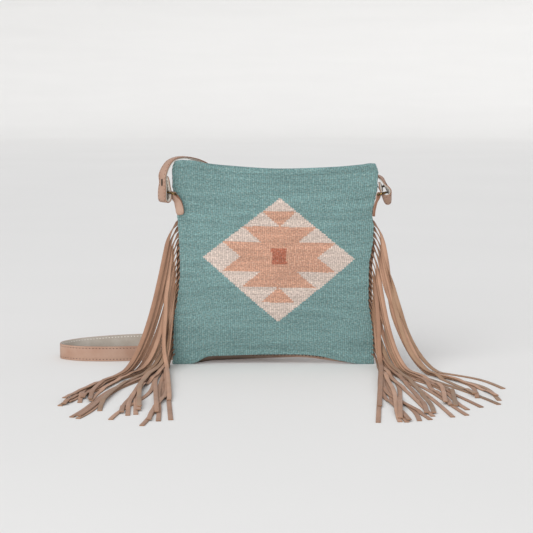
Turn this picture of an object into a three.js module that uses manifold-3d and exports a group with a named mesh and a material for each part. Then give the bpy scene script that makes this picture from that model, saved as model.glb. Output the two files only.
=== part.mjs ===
// Fringe crossbody bag: a woven wool front and a leather back sewn into a flat pouch that is open
// at the top, leather fringe let into both side seams, and a lined leather strap on two D-rings.
// Millimetres, +Z up. The bag stands on its bottom corners and its woven front faces -Y.
import * as THREE from 'three';
import Module from 'manifold-3d';

const wasm = await Module();
wasm.setup();

// Driving dimensions of the pouch
const BAG_HEIGHT = 254;
const WOOL_THICKNESS = 3;
const HEM_THICKNESS = 4.4;
const HEM_START = 0.968;
const BACK_THICKNESS = 2;
const FRONT_PUFF = 15;
const BACK_PUFF = 21;
const SEAM_HALF_GAP = 1;
const BOTTOM_HALF_GAP = 0.2;
const PUFF_POWER = 0.8;
const PANEL_COLUMNS = 18;

// Driving dimensions of the fringe
const STRIP_COUNT = 24;
const STRIP_WIDTH = 5.2;
const STRIP_THICKNESS = 1.2;
const STRIP_LENGTH = 345;
const FRINGE_TOP = 182;
const FRINGE_BOTTOM = 15;
const HEADER_DEPTH = 12;
const HEADER_THICKNESS = 1.4;
const HEADER_INSET = 0.6;
const HEADER_LEVELS = 9;
const ROOT_DEPTH = 5;
const GATE_OFFSET = 1.5;
const KNEE_OFFSET = 8;
const KNEE_GROWTH = 20;
const LEAST_REACH = 16;
const REACH_PER_HEIGHT = 0.45;
const FALL_POWER = 1.65;
const FALL_SOFTNESS = 0.08;
const FALL_STATIONS = [0.05, 0.14, 0.3, 0.52, 0.76, 1];
const FLOOR_STEPS = 3;
const SHINGLE_LEVELS = 3;
const SHINGLE_STEP = 1.6;
const HEADING_SCATTER = 0.8;
const BEND_SCATTER = 2;
const LENGTH_SCATTER = 9;
const SALT = { heading: 1, length: 2, bend: 3 };

// Driving dimensions of the strap, the rings, the tabs and the studs
const STRAP_WIDTH = 19;
const STRAP_THICKNESS = 2.4;
const LINING_THICKNESS = 1;
const LINING_WIDTH = 18.6;
const CLEARANCE = 0.3;
const RING_WIRE = 2.6;
const RING_HALF_WIDTH = 13.7;
const RING_DEPTH = 10;
const RING_RISE = 18;
const RING_BOW_STEPS = 14;
const RING_WIRE_SIDES = 6;
const RING_ROUNDNESS = 3.6;
const TAB_WIDTH = 10;
const TAB_END_WIDTH = 6.6;
const TAB_THICKNESS = 3;
const TAB_FOLD_THICKNESS = 5.2;
const TAB_NECK_THICKNESS = 4.4;
const STUD_SHANK = 2;
const STUD_BAR_LENGTH = 8;
const STUD_BAR_WIDTH = 2.2;
const STUD_BASE_WIDTH = 4.6;
const STUD_HEAD_THICKNESS = 0.8;
const SLIT_LENGTH = 10;
const PUNCH_DEPTH = 2.4;

// Side outline of the pouch: the sides pinch in at mid height and where the tabs pull on them
const OUTLINE = [
  { z: 0, left: -127, right: 125 },
  { z: 41, left: -126, right: 124 },
  { z: 61, left: -125, right: 121 },
  { z: 81, left: -121, right: 118 },
  { z: 120, left: -117, right: 118 },
  { z: 160, left: -118, right: 123 },
  { z: 176, left: -119.2, right: 123.4 },
  { z: 190, left: -120.2, right: 121.2 },
  { z: 204, left: -121.5, right: 123.4 },
  { z: 213, left: -122.5, right: 125.4 },
  { z: 224, left: -125.4, right: 127.4 },
  { z: 246, left: -125.6, right: 128 },
  { z: 250.5, left: -125, right: 127.4 },
  { z: 254, left: -122.6, right: 125 },
];

// The mouth sags between its corners
const TOP_EDGE = [
  { x: -127, z: 249.6 },
  { x: -121, z: 252.8 },
  { x: -113, z: 254.4 },
  { x: -103, z: 254.6 },
  { x: -84, z: 251.6 },
  { x: -60, z: 249.2 },
  { x: 10, z: 245.2 },
  { x: 70, z: 247 },
  { x: 108, z: 249.2 },
  { x: 118, z: 250.4 },
  { x: 123.5, z: 250.2 },
  { x: 130, z: 247 },
];

// The bottom seam arches up between the two corners that carry the bag
const BOTTOM_EDGE = [
  { x: -127, z: 0 },
  { x: -105, z: 0 },
  { x: -80, z: 10 },
  { x: 25, z: 12.5 },
  { x: 54, z: 10.5 },
  { x: 84, z: 4 },
  { x: 110, z: 0 },
  { x: 127, z: 0 },
];

// Share of the full puff at each height, from the bottom seam to the mouth
const PUFF_UP = [
  { v: 0, share: 0.04 },
  { v: 0.09, share: 0.5 },
  { v: 0.2, share: 0.85 },
  { v: 0.4, share: 1 },
  { v: 0.7, share: 0.76 },
  { v: 0.9, share: 0.5 },
  { v: 1, share: 0.42 },
];

const PANEL_ROWS = [
  0, 0.035, 0.09, 0.17, 0.27, 0.38, 0.5, 0.62, 0.69, 0.748, 0.8, 0.84, 0.885, 0.96, 0.972, 0.986, 1,
];

// Heading of the top and the bottom strip, in degrees from straight outward towards straight forward,
// and how far the top strip's end turns on forward along the floor
const FRINGE_SIDES = [
  { name: 'fringe_left', side: -1, edge: 'left', topHeading: 40, bottomHeading: 96, topBend: 20 },
  { name: 'fringe_right', side: 1, edge: 'right', topHeading: 32, bottomHeading: 96, topBend: 20 },
];

// Smooth curve through a short table, without overshoot between its rows
function readTable(rows, key, value, at) {
  const last = rows.length - 1;
  const clamped = THREE.MathUtils.clamp(at, rows[0][key], rows[last][key]);
  let i = 0;
  while (i < last - 1 && clamped > rows[i + 1][key]) i += 1;
  const secant = (k) => (rows[k + 1][value] - rows[k][value]) / (rows[k + 1][key] - rows[k][key]);
  const slope = (k) => {
    if (k === 0 || k === last) return 0;
    const before = secant(k - 1);
    const after = secant(k);
    return before * after > 0 ? (2 * before * after) / (before + after) : 0;
  };
  const span = rows[i + 1][key] - rows[i][key];
  const t = (clamped - rows[i][key]) / span;
  const a = rows[i][value];
  const b = rows[i + 1][value];
  return a * (1 + 2 * t) * (1 - t) ** 2 + b * t * t * (3 - 2 * t)
    + span * t * (1 - t) * (slope(i) * (1 - t) - slope(i + 1) * t);
}

// Repeatable scatter between -1 and 1, so that no two strips hang alike
function scatter(index, salt) {
  const raw = Math.sin(index * 12.9898 + salt * 78.233) * 43758.5453;
  return 2 * (raw - Math.floor(raw)) - 1;
}

function signedVolume(points, triangles) {
  let sum = 0;
  for (let i = 0; i < triangles.length; i += 3) {
    const [a, b, c] = [points[triangles[i]], points[triangles[i + 1]], points[triangles[i + 2]]];
    sum += a.dot(new THREE.Vector3().crossVectors(b, c));
  }
  return sum;
}

// Closed body from shared points, turned so that its faces point out
function closedBody(points, triangles) {
  const facing = signedVolume(points, triangles) > 0 ? triangles : triangles.slice().reverse();
  const geometry = new THREE.BufferGeometry();
  geometry.setAttribute('position', new THREE.Float32BufferAttribute(points.flatMap((p) => p.toArray()), 3));
  geometry.setIndex(facing);
  return geometry;
}

// Skin between a row of equal sections, capped at both ends or joined into a ring. Opposite faces of a
// band are split along the same diagonal, so that layers which twist together stay apart.
function loft(sections, joined = false) {
  const count = sections[0].length;
  const points = sections.flat();
  const triangles = [];
  const spans = joined ? sections.length : sections.length - 1;
  for (let s = 0; s < spans; s += 1) {
    const here = s * count;
    const next = ((s + 1) % sections.length) * count;
    for (let k = 0; k < count; k += 1) {
      const side = (k + 1) % count;
      if (k < count / 2) triangles.push(here + k, next + k, next + side, here + k, next + side, here + side);
      else triangles.push(here + k, next + k, here + side, here + side, next + k, next + side);
    }
  }
  if (!joined) {
    const end = (sections.length - 1) * count;
    for (let k = 1; k < count - 1; k += 1) {
      triangles.push(0, k, k + 1);
      triangles.push(end, end + k + 1, end + k);
    }
  }
  return closedBody(points, triangles);
}

// Flat band: each station has its centre, its width direction, its width and its two faces' offsets
function band(stations) {
  const sections = stations.map((station, i) => {
    const before = stations[Math.max(i - 1, 0)].centre;
    const after = stations[Math.min(i + 1, stations.length - 1)].centre;
    const along = after.clone().sub(before).normalize();
    const across = station.across.clone().addScaledVector(along, -station.across.dot(along)).normalize();
    const out = new THREE.Vector3().crossVectors(across, along);
    const corner = (side, offset) => station.centre.clone()
      .addScaledVector(across, side * station.width / 2)
      .addScaledVector(out, offset);
    const { inner, outer } = station;
    return [corner(-1, inner), corner(1, inner), corner(1, outer), corner(-1, outer)];
  });
  return loft(sections);
}

function toSolid(geometry) {
  return new wasm.Manifold(new wasm.Mesh({
    numProp: 3,
    vertProperties: new Float32Array(geometry.getAttribute('position').array),
    triVerts: new Uint32Array(geometry.getIndex().array),
  }));
}

function toGeometry(solid) {
  const mesh = solid.getMesh();
  const geometry = new THREE.BufferGeometry();
  geometry.setAttribute('position', new THREE.BufferAttribute(mesh.vertProperties, 3));
  geometry.setIndex(new THREE.BufferAttribute(mesh.triVerts, 1));
  return geometry;
}

// Pieces joined into one body, with the small pockets that crossing strips enclose filled in
function join(geometries) {
  const whole = geometries.map(toSolid).reduce((a, b) => a.add(b));
  return toGeometry(whole.decompose().filter((shell) => shell.volume() > 0).reduce((a, b) => a.add(b)));
}

const cut = (body, tools) => toGeometry(tools.map(toSolid).reduce((a, b) => a.subtract(b), toSolid(body)));

// Point of a pouch panel: u runs -1 to 1 across, v 0 to 1 up, depth is measured from its inner face
function panelPoint(panel, u, v, depth) {
  const height = v * BAG_HEIGHT;
  const left = readTable(OUTLINE, 'z', 'left', height);
  const right = readTable(OUTLINE, 'z', 'right', height);
  const x = THREE.MathUtils.lerp(left, right, (u + 1) / 2);
  const z = THREE.MathUtils.lerp(readTable(BOTTOM_EDGE, 'x', 'z', x), readTable(TOP_EDGE, 'x', 'z', x), v);
  const halfGap = v === 0 ? BOTTOM_HALF_GAP : SEAM_HALF_GAP;
  const puff = panel.puff * (1 - u * u) ** PUFF_POWER * readTable(PUFF_UP, 'v', 'share', v);
  return new THREE.Vector3(x, panel.side * (halfGap + puff + depth), z);
}

const woolAt = (v) => (v > HEM_START ? HEM_THICKNESS : WOOL_THICKNESS);
const FRONT = { side: -1, puff: FRONT_PUFF, thickness: woolAt };
const BACK = { side: 1, puff: BACK_PUFF, thickness: () => BACK_THICKNESS };

// Panel with a real wall: an inner and an outer skin joined round the rim
function panelBody(panel) {
  const columns = PANEL_COLUMNS + 1;
  const skins = [0, 1].map((layer) => PANEL_ROWS.flatMap((v) => Array.from({ length: columns }, (_, c) => {
    const u = Math.sin(THREE.MathUtils.lerp(-1, 1, c / PANEL_COLUMNS) * Math.PI / 2);
    return panelPoint(panel, u, v, layer * panel.thickness(v));
  })));
  const points = skins.flat();
  const outer = skins[0].length;
  const triangles = [];
  const quad = (a, b, c, d) => triangles.push(a, b, c, a, c, d);
  const at = (r, c) => r * columns + c;
  const lastRow = PANEL_ROWS.length - 1;
  for (let r = 0; r < lastRow; r += 1) {
    for (let c = 0; c < PANEL_COLUMNS; c += 1) {
      quad(at(r, c), at(r, c + 1), at(r + 1, c + 1), at(r + 1, c));
      quad(outer + at(r, c), outer + at(r + 1, c), outer + at(r + 1, c + 1), outer + at(r, c + 1));
    }
    quad(at(r, 0), at(r + 1, 0), outer + at(r + 1, 0), outer + at(r, 0));
    quad(at(r, PANEL_COLUMNS), outer + at(r, PANEL_COLUMNS), outer + at(r + 1, PANEL_COLUMNS),
      at(r + 1, PANEL_COLUMNS));
  }
  for (let c = 0; c < PANEL_COLUMNS; c += 1) {
    quad(at(0, c), outer + at(0, c), outer + at(0, c + 1), at(0, c + 1));
    quad(at(lastRow, c), at(lastRow, c + 1), outer + at(lastRow, c + 1), outer + at(lastRow, c));
  }
  return closedBody(points, triangles);
}

const edgeAt = (fringe, z) => readTable(OUTLINE, 'z', fringe.edge, z);

// Uncut header of the fringe hide, held in the side seam between the two panels
function fringeHeader(fringe) {
  const low = FRINGE_BOTTOM - STRIP_WIDTH / 2;
  const high = FRINGE_TOP + STRIP_WIDTH;
  const sections = Array.from({ length: HEADER_LEVELS }, (_, i) => {
    const z = THREE.MathUtils.lerp(low, high, i / (HEADER_LEVELS - 1));
    const rim = edgeAt(fringe, z) - fringe.side * HEADER_INSET;
    const deep = rim - fringe.side * HEADER_DEPTH;
    const half = HEADER_THICKNESS / 2;
    const corners = [[deep, -half], [rim, -half], [rim, half], [deep, half]];
    return corners.map(([x, y]) => new THREE.Vector3(x, y, z));
  });
  return loft(sections);
}

// One strip: out of the seam on edge, a quarter twist, a fall that flares out, then flat along the floor.
// Neighbours lie on the floor like shingles, in levels that sink to the floor where the fan opens.
function fringeStrip(fringe, index) {
  const { side } = fringe;
  const share = index / (STRIP_COUNT - 1);
  const rootZ = THREE.MathUtils.lerp(FRINGE_TOP, FRINGE_BOTTOM, share);
  const edge = edgeAt(fringe, rootZ);
  const widest = side * Math.max(side * edge, side * edgeAt(fringe, 0));
  const half = STRIP_THICKNESS / 2;
  const lift = half + SHINGLE_STEP * (index % SHINGLE_LEVELS);
  const stray = (salt) => scatter(index, side * salt);
  const aim = THREE.MathUtils.lerp(fringe.topHeading, fringe.bottomHeading, share);
  const heading = THREE.MathUtils.degToRad(aim + HEADING_SCATTER * stray(SALT.heading));
  const reach = LEAST_REACH + REACH_PER_HEIGHT * rootZ;
  const gate = new THREE.Vector2(edge + side * GATE_OFFSET, 0);
  const knee = new THREE.Vector2(widest + side * (KNEE_OFFSET + KNEE_GROWTH * (1 - share)), 0);
  const landing = new THREE.Vector2(
    widest + side * (KNEE_OFFSET + reach * Math.cos(heading)), -reach * Math.sin(heading),
  );
  const sweep = new THREE.QuadraticBezierCurve(gate, knee, landing);
  const acrossOf = (course) => new THREE.Vector3(side * course.y, -side * course.x, 0);
  const upright = new THREE.Vector3(0, 0, 1);
  const stations = [
    { centre: new THREE.Vector3(edge - side * ROOT_DEPTH, 0, rootZ), across: upright },
    { centre: new THREE.Vector3(gate.x, 0, rootZ), across: upright },
  ];
  for (const t of FALL_STATIONS) {
    const fall = (1 - (1 - t) ** FALL_POWER) * (t / (t + FALL_SOFTNESS)) * (1 + FALL_SOFTNESS);
    const place = sweep.getPoint(t);
    stations.push({
      centre: new THREE.Vector3(place.x, place.y, THREE.MathUtils.lerp(rootZ, lift, fall)),
      across: acrossOf(sweep.getTangent(t)),
    });
  }
  let used = 0;
  for (let i = 1; i < stations.length; i += 1) used += stations[i].centre.distanceTo(stations[i - 1].centre);
  const stride = (STRIP_LENGTH + LENGTH_SCATTER * stray(SALT.length) - used) / FLOOR_STEPS;
  const bend = THREE.MathUtils.degToRad(fringe.topBend * (1 - share) + BEND_SCATTER * stray(SALT.bend));
  const course = sweep.getTangent(1);
  const place = landing.clone();
  for (let i = 1; i <= FLOOR_STEPS; i += 1) {
    course.rotateAround(new THREE.Vector2(), -side * bend / FLOOR_STEPS);
    place.addScaledVector(course, stride);
    stations.push({
      centre: new THREE.Vector3(place.x, place.y, THREE.MathUtils.lerp(lift, half, i / FLOOR_STEPS)),
      across: acrossOf(course),
    });
  }
  return band(stations.map((station) => ({ ...station, width: STRIP_WIDTH, inner: -half, outer: half })));
}

function fringeBody(fringe) {
  const strips = Array.from({ length: STRIP_COUNT }, (_, i) => fringeStrip(fringe, i));
  return join([fringeHeader(fringe), ...strips]);
}

// Directions at a side of the bag: outward, turned from the side towards the front, then across the
// strap, with its front edge leaned up, and upward square to both. Turn and lean are in degrees.
function leaning(side, turn, lean) {
  const t = THREE.MathUtils.degToRad(turn);
  const l = THREE.MathUtils.degToRad(lean);
  const out = new THREE.Vector3(side * Math.cos(t), -Math.sin(t), 0);
  const level = new THREE.Vector3(-side * Math.sin(t), -Math.cos(t), 0);
  const up = new THREE.Vector3(0, 0, 1);
  const across = level.clone().multiplyScalar(Math.cos(l)).addScaledVector(up, Math.sin(l));
  const upward = up.multiplyScalar(Math.cos(l)).addScaledVector(level, -Math.sin(l));
  return { out, across, upward };
}

// The ring's straight bar lies in the tab and its bow in the strap
const SIDES = [
  { name: 'left', side: -1, bar: new THREE.Vector3(-127.1, -4.2, 213.5), turn: 33, lean: 0 },
  { name: 'right', side: 1, bar: new THREE.Vector3(129.4, -0.6, 212.3), turn: 9, lean: 4 },
];
for (const end of SIDES) {
  const rise = THREE.MathUtils.degToRad(RING_RISE);
  const { out, across, upward } = leaning(end.side, end.turn, end.lean);
  end.out = out;
  end.across = across;
  end.outward = out.clone().multiplyScalar(Math.cos(rise)).addScaledVector(upward, Math.sin(rise));
  end.bow = end.bar.clone().addScaledVector(end.outward, RING_DEPTH);
}

// Round wire bent to a D: a straight bar closed by a bow
function ringBody(end, wireRadius) {
  const path = [];
  for (let i = 0; i <= RING_BOW_STEPS; i += 1) {
    const angle = Math.PI * i / RING_BOW_STEPS;
    const c = Math.cos(angle);
    const s = Math.sin(angle);
    const a = RING_HALF_WIDTH * Math.sign(c) * Math.abs(c) ** (2 / RING_ROUNDNESS);
    const o = RING_DEPTH * Math.abs(s) ** (2 / RING_ROUNDNESS);
    path.push(end.bar.clone().addScaledVector(end.across, a).addScaledVector(end.outward, o));
  }
  const normal = new THREE.Vector3().crossVectors(end.across, end.outward).normalize();
  const sections = path.map((point, i) => {
    const before = path[(i + path.length - 1) % path.length];
    const after = path[(i + 1) % path.length];
    const tangent = after.clone().sub(before).normalize();
    const side = new THREE.Vector3().crossVectors(tangent, normal).normalize();
    return Array.from({ length: RING_WIRE_SIDES }, (_, k) => {
      const angle = 2 * Math.PI * k / RING_WIRE_SIDES;
      return point.clone().addScaledVector(side, wireRadius * Math.cos(angle))
        .addScaledVector(normal, wireRadius * Math.sin(angle));
    });
  });
  return loft(sections, true);
}

// Folded leather tab: a thick fold round the ring's bar, then two layers lying on the seam
const TAB_ROWS = {
  left: [
    { x: -124.1, y: -8.4, z: 216.6, ax: 0.54, ay: -0.84, az: 0, thick: TAB_THICKNESS },
    { x: -124.4, y: -8.4, z: 213.5, ax: 0.54, ay: -0.84, az: 0, thick: TAB_FOLD_THICKNESS },
    { x: -121.4, y: -9.8, z: 209, ax: 0.7, ay: -0.7, az: 0.1, thick: TAB_NECK_THICKNESS },
    { x: -118.8, y: -10, z: 205, ax: 0.85, ay: -0.5, az: 0.15, thick: TAB_THICKNESS },
    { x: -117.2, y: -9.4, z: 199.5, ax: 0.95, ay: -0.2, az: 0.16, thick: TAB_THICKNESS },
    { x: -116.2, y: -8.8, z: 193.5, ax: 0.97, ay: -0.1, az: 0.16, thick: TAB_THICKNESS },
    { x: -115.8, y: -8.6, z: 190.2, ax: 0.97, ay: -0.1, az: 0.16, thick: TAB_THICKNESS },
    { x: -115.5, y: -8.6, z: 188.2, ax: 0.97, ay: -0.1, az: 0.16, thick: TAB_THICKNESS },
  ],
  right: [
    { x: 129.8, y: -0.4, z: 215.6, ax: -0.16, ay: -0.98, az: 0.07, thick: TAB_THICKNESS },
    { x: 129.4, y: -0.6, z: 212.3, ax: -0.16, ay: -0.98, az: 0.07, thick: TAB_FOLD_THICKNESS },
    { x: 128.5, y: -0.6, z: 208, ax: -0.12, ay: -0.99, az: 0.04, thick: TAB_NECK_THICKNESS },
    { x: 126.6, y: -0.6, z: 203.4, ax: -0.06, ay: -1, az: 0, thick: TAB_THICKNESS },
    { x: 124.8, y: -0.6, z: 197.5, ax: 0, ay: -1, az: 0, thick: TAB_THICKNESS },
    { x: 123.7, y: -0.6, z: 191.5, ax: 0, ay: -1, az: 0, thick: TAB_THICKNESS },
    { x: 123.3, y: -0.6, z: 187.6, ax: 0, ay: -1, az: 0, thick: TAB_THICKNESS },
    { x: 123.4, y: -0.6, z: 185.6, ax: 0, ay: -1, az: 0, thick: TAB_THICKNESS },
  ],
};

function tabBody(end) {
  const rows = TAB_ROWS[end.name];
  const last = rows.length - 1;
  const stations = rows.map((row, i) => ({
    centre: new THREE.Vector3(row.x, row.y, row.z),
    across: new THREE.Vector3(row.ax, row.ay, row.az),
    width: i === last ? TAB_END_WIDTH : TAB_WIDTH,
    inner: -row.thick / 2,
    outer: row.thick / 2,
  }));
  return cut(band(stations), [ringBody(end, RING_WIRE / 2 + CLEARANCE)]);
}

// How the left strap end wraps its ring's bow: d is measured outward from the bow, z is height, tail first
const LEFT_LOOP = [
  { d: -1, z: 236.5 }, { d: -1, z: 233 }, { d: -1.8, z: 228.5 }, { d: -2.9, z: 222.5 },
  { d: -4.1, z: 217 }, { d: -4.5, z: 212.5 }, { d: -4.2, z: 209 }, { d: -3.2, z: 206.3 },
  { d: -1.5, z: 204.9 }, { d: 0.2, z: 204.6 },
  { d: 1.7, z: 205.4 }, { d: 2.7, z: 207.6 }, { d: 3, z: 211 }, { d: 3, z: 215 }, { d: 2.7, z: 220 },
  { d: 2.2, z: 227.5 },
];

// How the right strap end wraps its ring, from behind the bag to the tail tip
const RIGHT_LOOP = [
  { x: 130.6, y: 15, z: 233.4, turn: 20, lean: 4 },
  { x: 134.9, y: 9.8, z: 228.9, turn: 17, lean: 10 },
  { x: 137.5, y: 5.6, z: 223.6, turn: 10, lean: 17 },
  { x: 140.9, y: 2.8, z: 219, turn: 5, lean: 24 },
  { x: 143.4, y: 0.4, z: 214.8, turn: 3, lean: 31 },
  { x: 144, y: -2.2, z: 211.4, turn: 4, lean: 36 },
  { x: 143.5, y: -4.3, z: 208.9, turn: 7, lean: 39 },
  { x: 141.9, y: -5.8, z: 207.3, turn: 9, lean: 41 },
  { x: 139.8, y: -6.4, z: 206.7, turn: 10, lean: 41 },
  { x: 137.8, y: -6, z: 206.9, turn: 11, lean: 39 },
  { x: 136.1, y: -4.7, z: 208.2, turn: 12, lean: 36 },
  { x: 134.4, y: -2.2, z: 211, turn: 13, lean: 31 },
  { x: 133, y: 1.6, z: 215.2, turn: 14, lean: 22 },
  { x: 132.4, y: 3.6, z: 220.4, turn: 14, lean: 18 },
  { x: 132.1, y: 7, z: 224.8, turn: 14, lean: 10 },
];

// Strap route between its ends, by hand: over the left corner, down behind the bag, on edge along the
// floor to a turn at the left, back along the floor behind the bag and up to the right ring
const STRAP_ROUTE = [
  { x: -136.9, y: -9.7, z: 236.5, ax: 0.53, ay: -0.85, az: 0.02 },
  { x: -133.8, y: -5, z: 246, ax: 0.5, ay: -0.86, az: 0.06 },
  { x: -127.6, y: 1.6, z: 254.2, ax: 0.48, ay: -0.87, az: 0.1 },
  { x: -117, y: 8.8, z: 257.9, ax: 0.46, ay: -0.89, az: 0.06 },
  { x: -101, y: 17, z: 256, ax: 0.46, ay: -0.89, az: 0 },
  { x: -85, y: 26, z: 248.4, ax: 0.5, ay: -0.86, az: -0.03 },
  { x: -70, y: 35, z: 233.6, ax: 0.56, ay: -0.82, az: -0.06 },
  { x: -52, y: 45, z: 207, ax: 0.64, ay: -0.76, az: -0.06 },
  { x: -36, y: 56, z: 170, ax: 0.78, ay: -0.62, az: -0.06 },
  { x: -27, y: 70, z: 126, ax: 0.92, ay: -0.34, az: -0.14 },
  { x: -30, y: 86, z: 82, ax: 0.88, ay: -0.1, az: -0.46 },
  { x: -50, y: 101, z: 42, ax: 0.66, ay: 0, az: -0.75 },
  { x: -86, y: 111, z: 17, ax: 0.3, ay: 0, az: -0.95 },
  { x: -130, y: 114, z: 10, ax: 0.04, ay: 0, az: -1 },
  { x: -182, y: 109, z: 9.5, ax: 0, ay: 0, az: -1 },
  { x: -228, y: 92, z: 9.5, ax: 0, ay: 0, az: -1 },
  { x: -259, y: 71, z: 9.5, ax: 0, ay: 0, az: -1 },
  { x: -272, y: 52, z: 9.5, ax: 0, ay: 0, az: -1 },
  { x: -272, y: 37, z: 9.5, ax: 0, ay: 0, az: -1 },
  { x: -257, y: 24, z: 9.5, ax: 0, ay: 0, az: -1 },
  { x: -222, y: 16.5, z: 9.5, ax: 0, ay: 0, az: -1 },
  { x: -176, y: 20, z: 9.5, ax: 0, ay: 0, az: -1 },
  { x: -120, y: 28, z: 9.5, ax: 0, ay: 0, az: -1 },
  { x: -60, y: 34, z: 10, ax: 0.05, ay: 0, az: -1 },
  { x: -8, y: 37, z: 14, ax: 0.22, ay: 0, az: -0.97 },
  { x: 38, y: 38, z: 31, ax: 0.5, ay: -0.06, az: -0.86 },
  { x: 72, y: 38, z: 65, ax: 0.78, ay: -0.2, az: -0.6 },
  { x: 92, y: 36, z: 110, ax: 0.8, ay: -0.52, az: -0.3 },
  { x: 102, y: 33, z: 155, ax: 0.5, ay: -0.86, az: -0.12 },
  { x: 107, y: 30, z: 192, ax: 0, ay: -1, az: 0 },
  { x: 111, y: 27.5, z: 212, ax: -0.1, ay: -0.99, az: 0 },
  { x: 116.5, y: 24, z: 226.5, ax: -0.2, ay: -0.98, az: -0.06 },
  { x: 123.5, y: 20, z: 233.8, ax: -0.3, ay: -0.95, az: -0.06 },
];

function strapStations() {
  const [left, right] = SIDES;
  return [
    ...LEFT_LOOP.map((row) => ({
      centre: left.bow.clone().addScaledVector(left.out, row.d).setZ(row.z),
      across: left.across,
    })),
    ...STRAP_ROUTE.map((row) => ({
      centre: new THREE.Vector3(row.x, row.y, row.z),
      across: new THREE.Vector3(row.ax, row.ay, row.az),
    })),
    ...RIGHT_LOOP.map((row) => ({
      centre: new THREE.Vector3(row.x, row.y, row.z),
      across: leaning(right.side, row.turn, row.lean).across,
    })),
  ];
}

// Each stud joins the two runs of its strap end: its middle, half the way between the runs, the play under
// its head and its base, its shank's direction, the strap's width direction there, and its bar along or
// across the slit
const STUDS = {
  left: {
    middle: new THREE.Vector3(-134.6, -10.3, 228.4),
    half: 2,
    seats: { run: 0.3, tail: 0.5 },
    axis: new THREE.Vector3(-0.839, -0.545, 0),
    across: new THREE.Vector3(0.545, -0.839, 0),
    bar: { wide: STUD_BAR_WIDTH, tall: STUD_BAR_LENGTH },
  },
  right: {
    middle: new THREE.Vector3(135, 5.2, 222.3),
    half: 2.6,
    seats: { run: 1.1, tail: 1.2 },
    axis: new THREE.Vector3(0.89, -0.09, 0.44),
    across: new THREE.Vector3(-0.28, -0.83, 0.48),
    bar: { wide: STUD_BAR_LENGTH, tall: STUD_BAR_WIDTH },
  },
};

// Flat bar along a stud's shank, used for the stud, the slit and the stud hole
function studBar(stud, from, to, wide, tall) {
  return band([from, to].map((d) => ({
    centre: stud.middle.clone().addScaledVector(stud.axis, d),
    across: stud.across,
    width: wide,
    inner: -tall / 2,
    outer: tall / 2,
  })));
}

function studBody(stud) {
  const face = stud.half + STRAP_THICKNESS / 2;
  const head = face + stud.seats.run;
  const base = face + stud.seats.tail;
  const sunk = STUD_HEAD_THICKNESS / 2;
  return join([
    studBar(stud, -base - sunk, head + sunk, STUD_SHANK, STUD_SHANK),
    studBar(stud, head, head + STUD_HEAD_THICKNESS, stud.bar.wide, stud.bar.tall),
    studBar(stud, -base - STUD_HEAD_THICKNESS, -base, STUD_BASE_WIDTH, STUD_BASE_WIDTH),
  ]);
}

function strapBody(width, inner, outer) {
  const stations = strapStations().map((station) => ({ ...station, width, inner, outer }));
  const hole = STUD_SHANK + 2 * CLEARANCE;
  const tools = Object.values(STUDS).flatMap((stud) => [
    studBar(stud, stud.half - PUNCH_DEPTH, stud.half + PUNCH_DEPTH, hole, SLIT_LENGTH),
    studBar(stud, -stud.half - PUNCH_DEPTH, -stud.half + PUNCH_DEPTH, hole, hole),
  ]);
  return cut(band(stations), tools);
}

// Finishes
function finish(color, roughness, metalness = 0) {
  return new THREE.MeshStandardMaterial({ color, roughness, metalness });
}
const WOOL = finish('#769e9c', 0.95);
const HIDE = finish('#c39b82', 0.65);
const LINING = finish('#cdc3b2', 0.9);
const BRASS = finish('#8a6a3a', 0.4, 1);
const DARK_METAL = finish('#3a3029', 0.45, 1);

const bag = new THREE.Group();
const addPiece = (name, geometry, material) => {
  const mesh = new THREE.Mesh(geometry, material);
  mesh.name = name;
  bag.add(mesh);
};

addPiece('front_panel', panelBody(FRONT), WOOL);
addPiece('back_panel', panelBody(BACK), HIDE);
for (const fringe of FRINGE_SIDES) addPiece(fringe.name, fringeBody(fringe), HIDE);
for (const end of SIDES) {
  addPiece(`tab_${end.name}`, tabBody(end), HIDE);
  addPiece(`ring_${end.name}`, ringBody(end, RING_WIRE / 2), BRASS);
  addPiece(`stud_${end.name}`, studBody(STUDS[end.name]), DARK_METAL);
}
const strapHalf = STRAP_THICKNESS / 2;
addPiece('strap', strapBody(STRAP_WIDTH, 0, strapHalf), HIDE);
addPiece('strap_lining', strapBody(LINING_WIDTH, -strapHalf, LINING_THICKNESS - strapHalf), LINING);

// The origin is the middle of the floor that the bag covers
const box = new THREE.Box3().setFromObject(bag);
const middle = box.getCenter(new THREE.Vector3());
bag.position.set(-middle.x, -middle.y, -box.min.z);
bag.updateMatrixWorld(true);

export default bag;
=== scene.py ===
# %% [markdown]
# # A fringed crossbody bag
# The bag is a flat pouch: a hand-woven wool front, a leather back, two leather fringes caught in the side
# seams, and a leather strap that hangs on two D-rings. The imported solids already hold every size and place,
# so this lesson only dresses them: each soft solid is replaced by a finer mesh that lies where the solid is.

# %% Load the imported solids
import math

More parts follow.
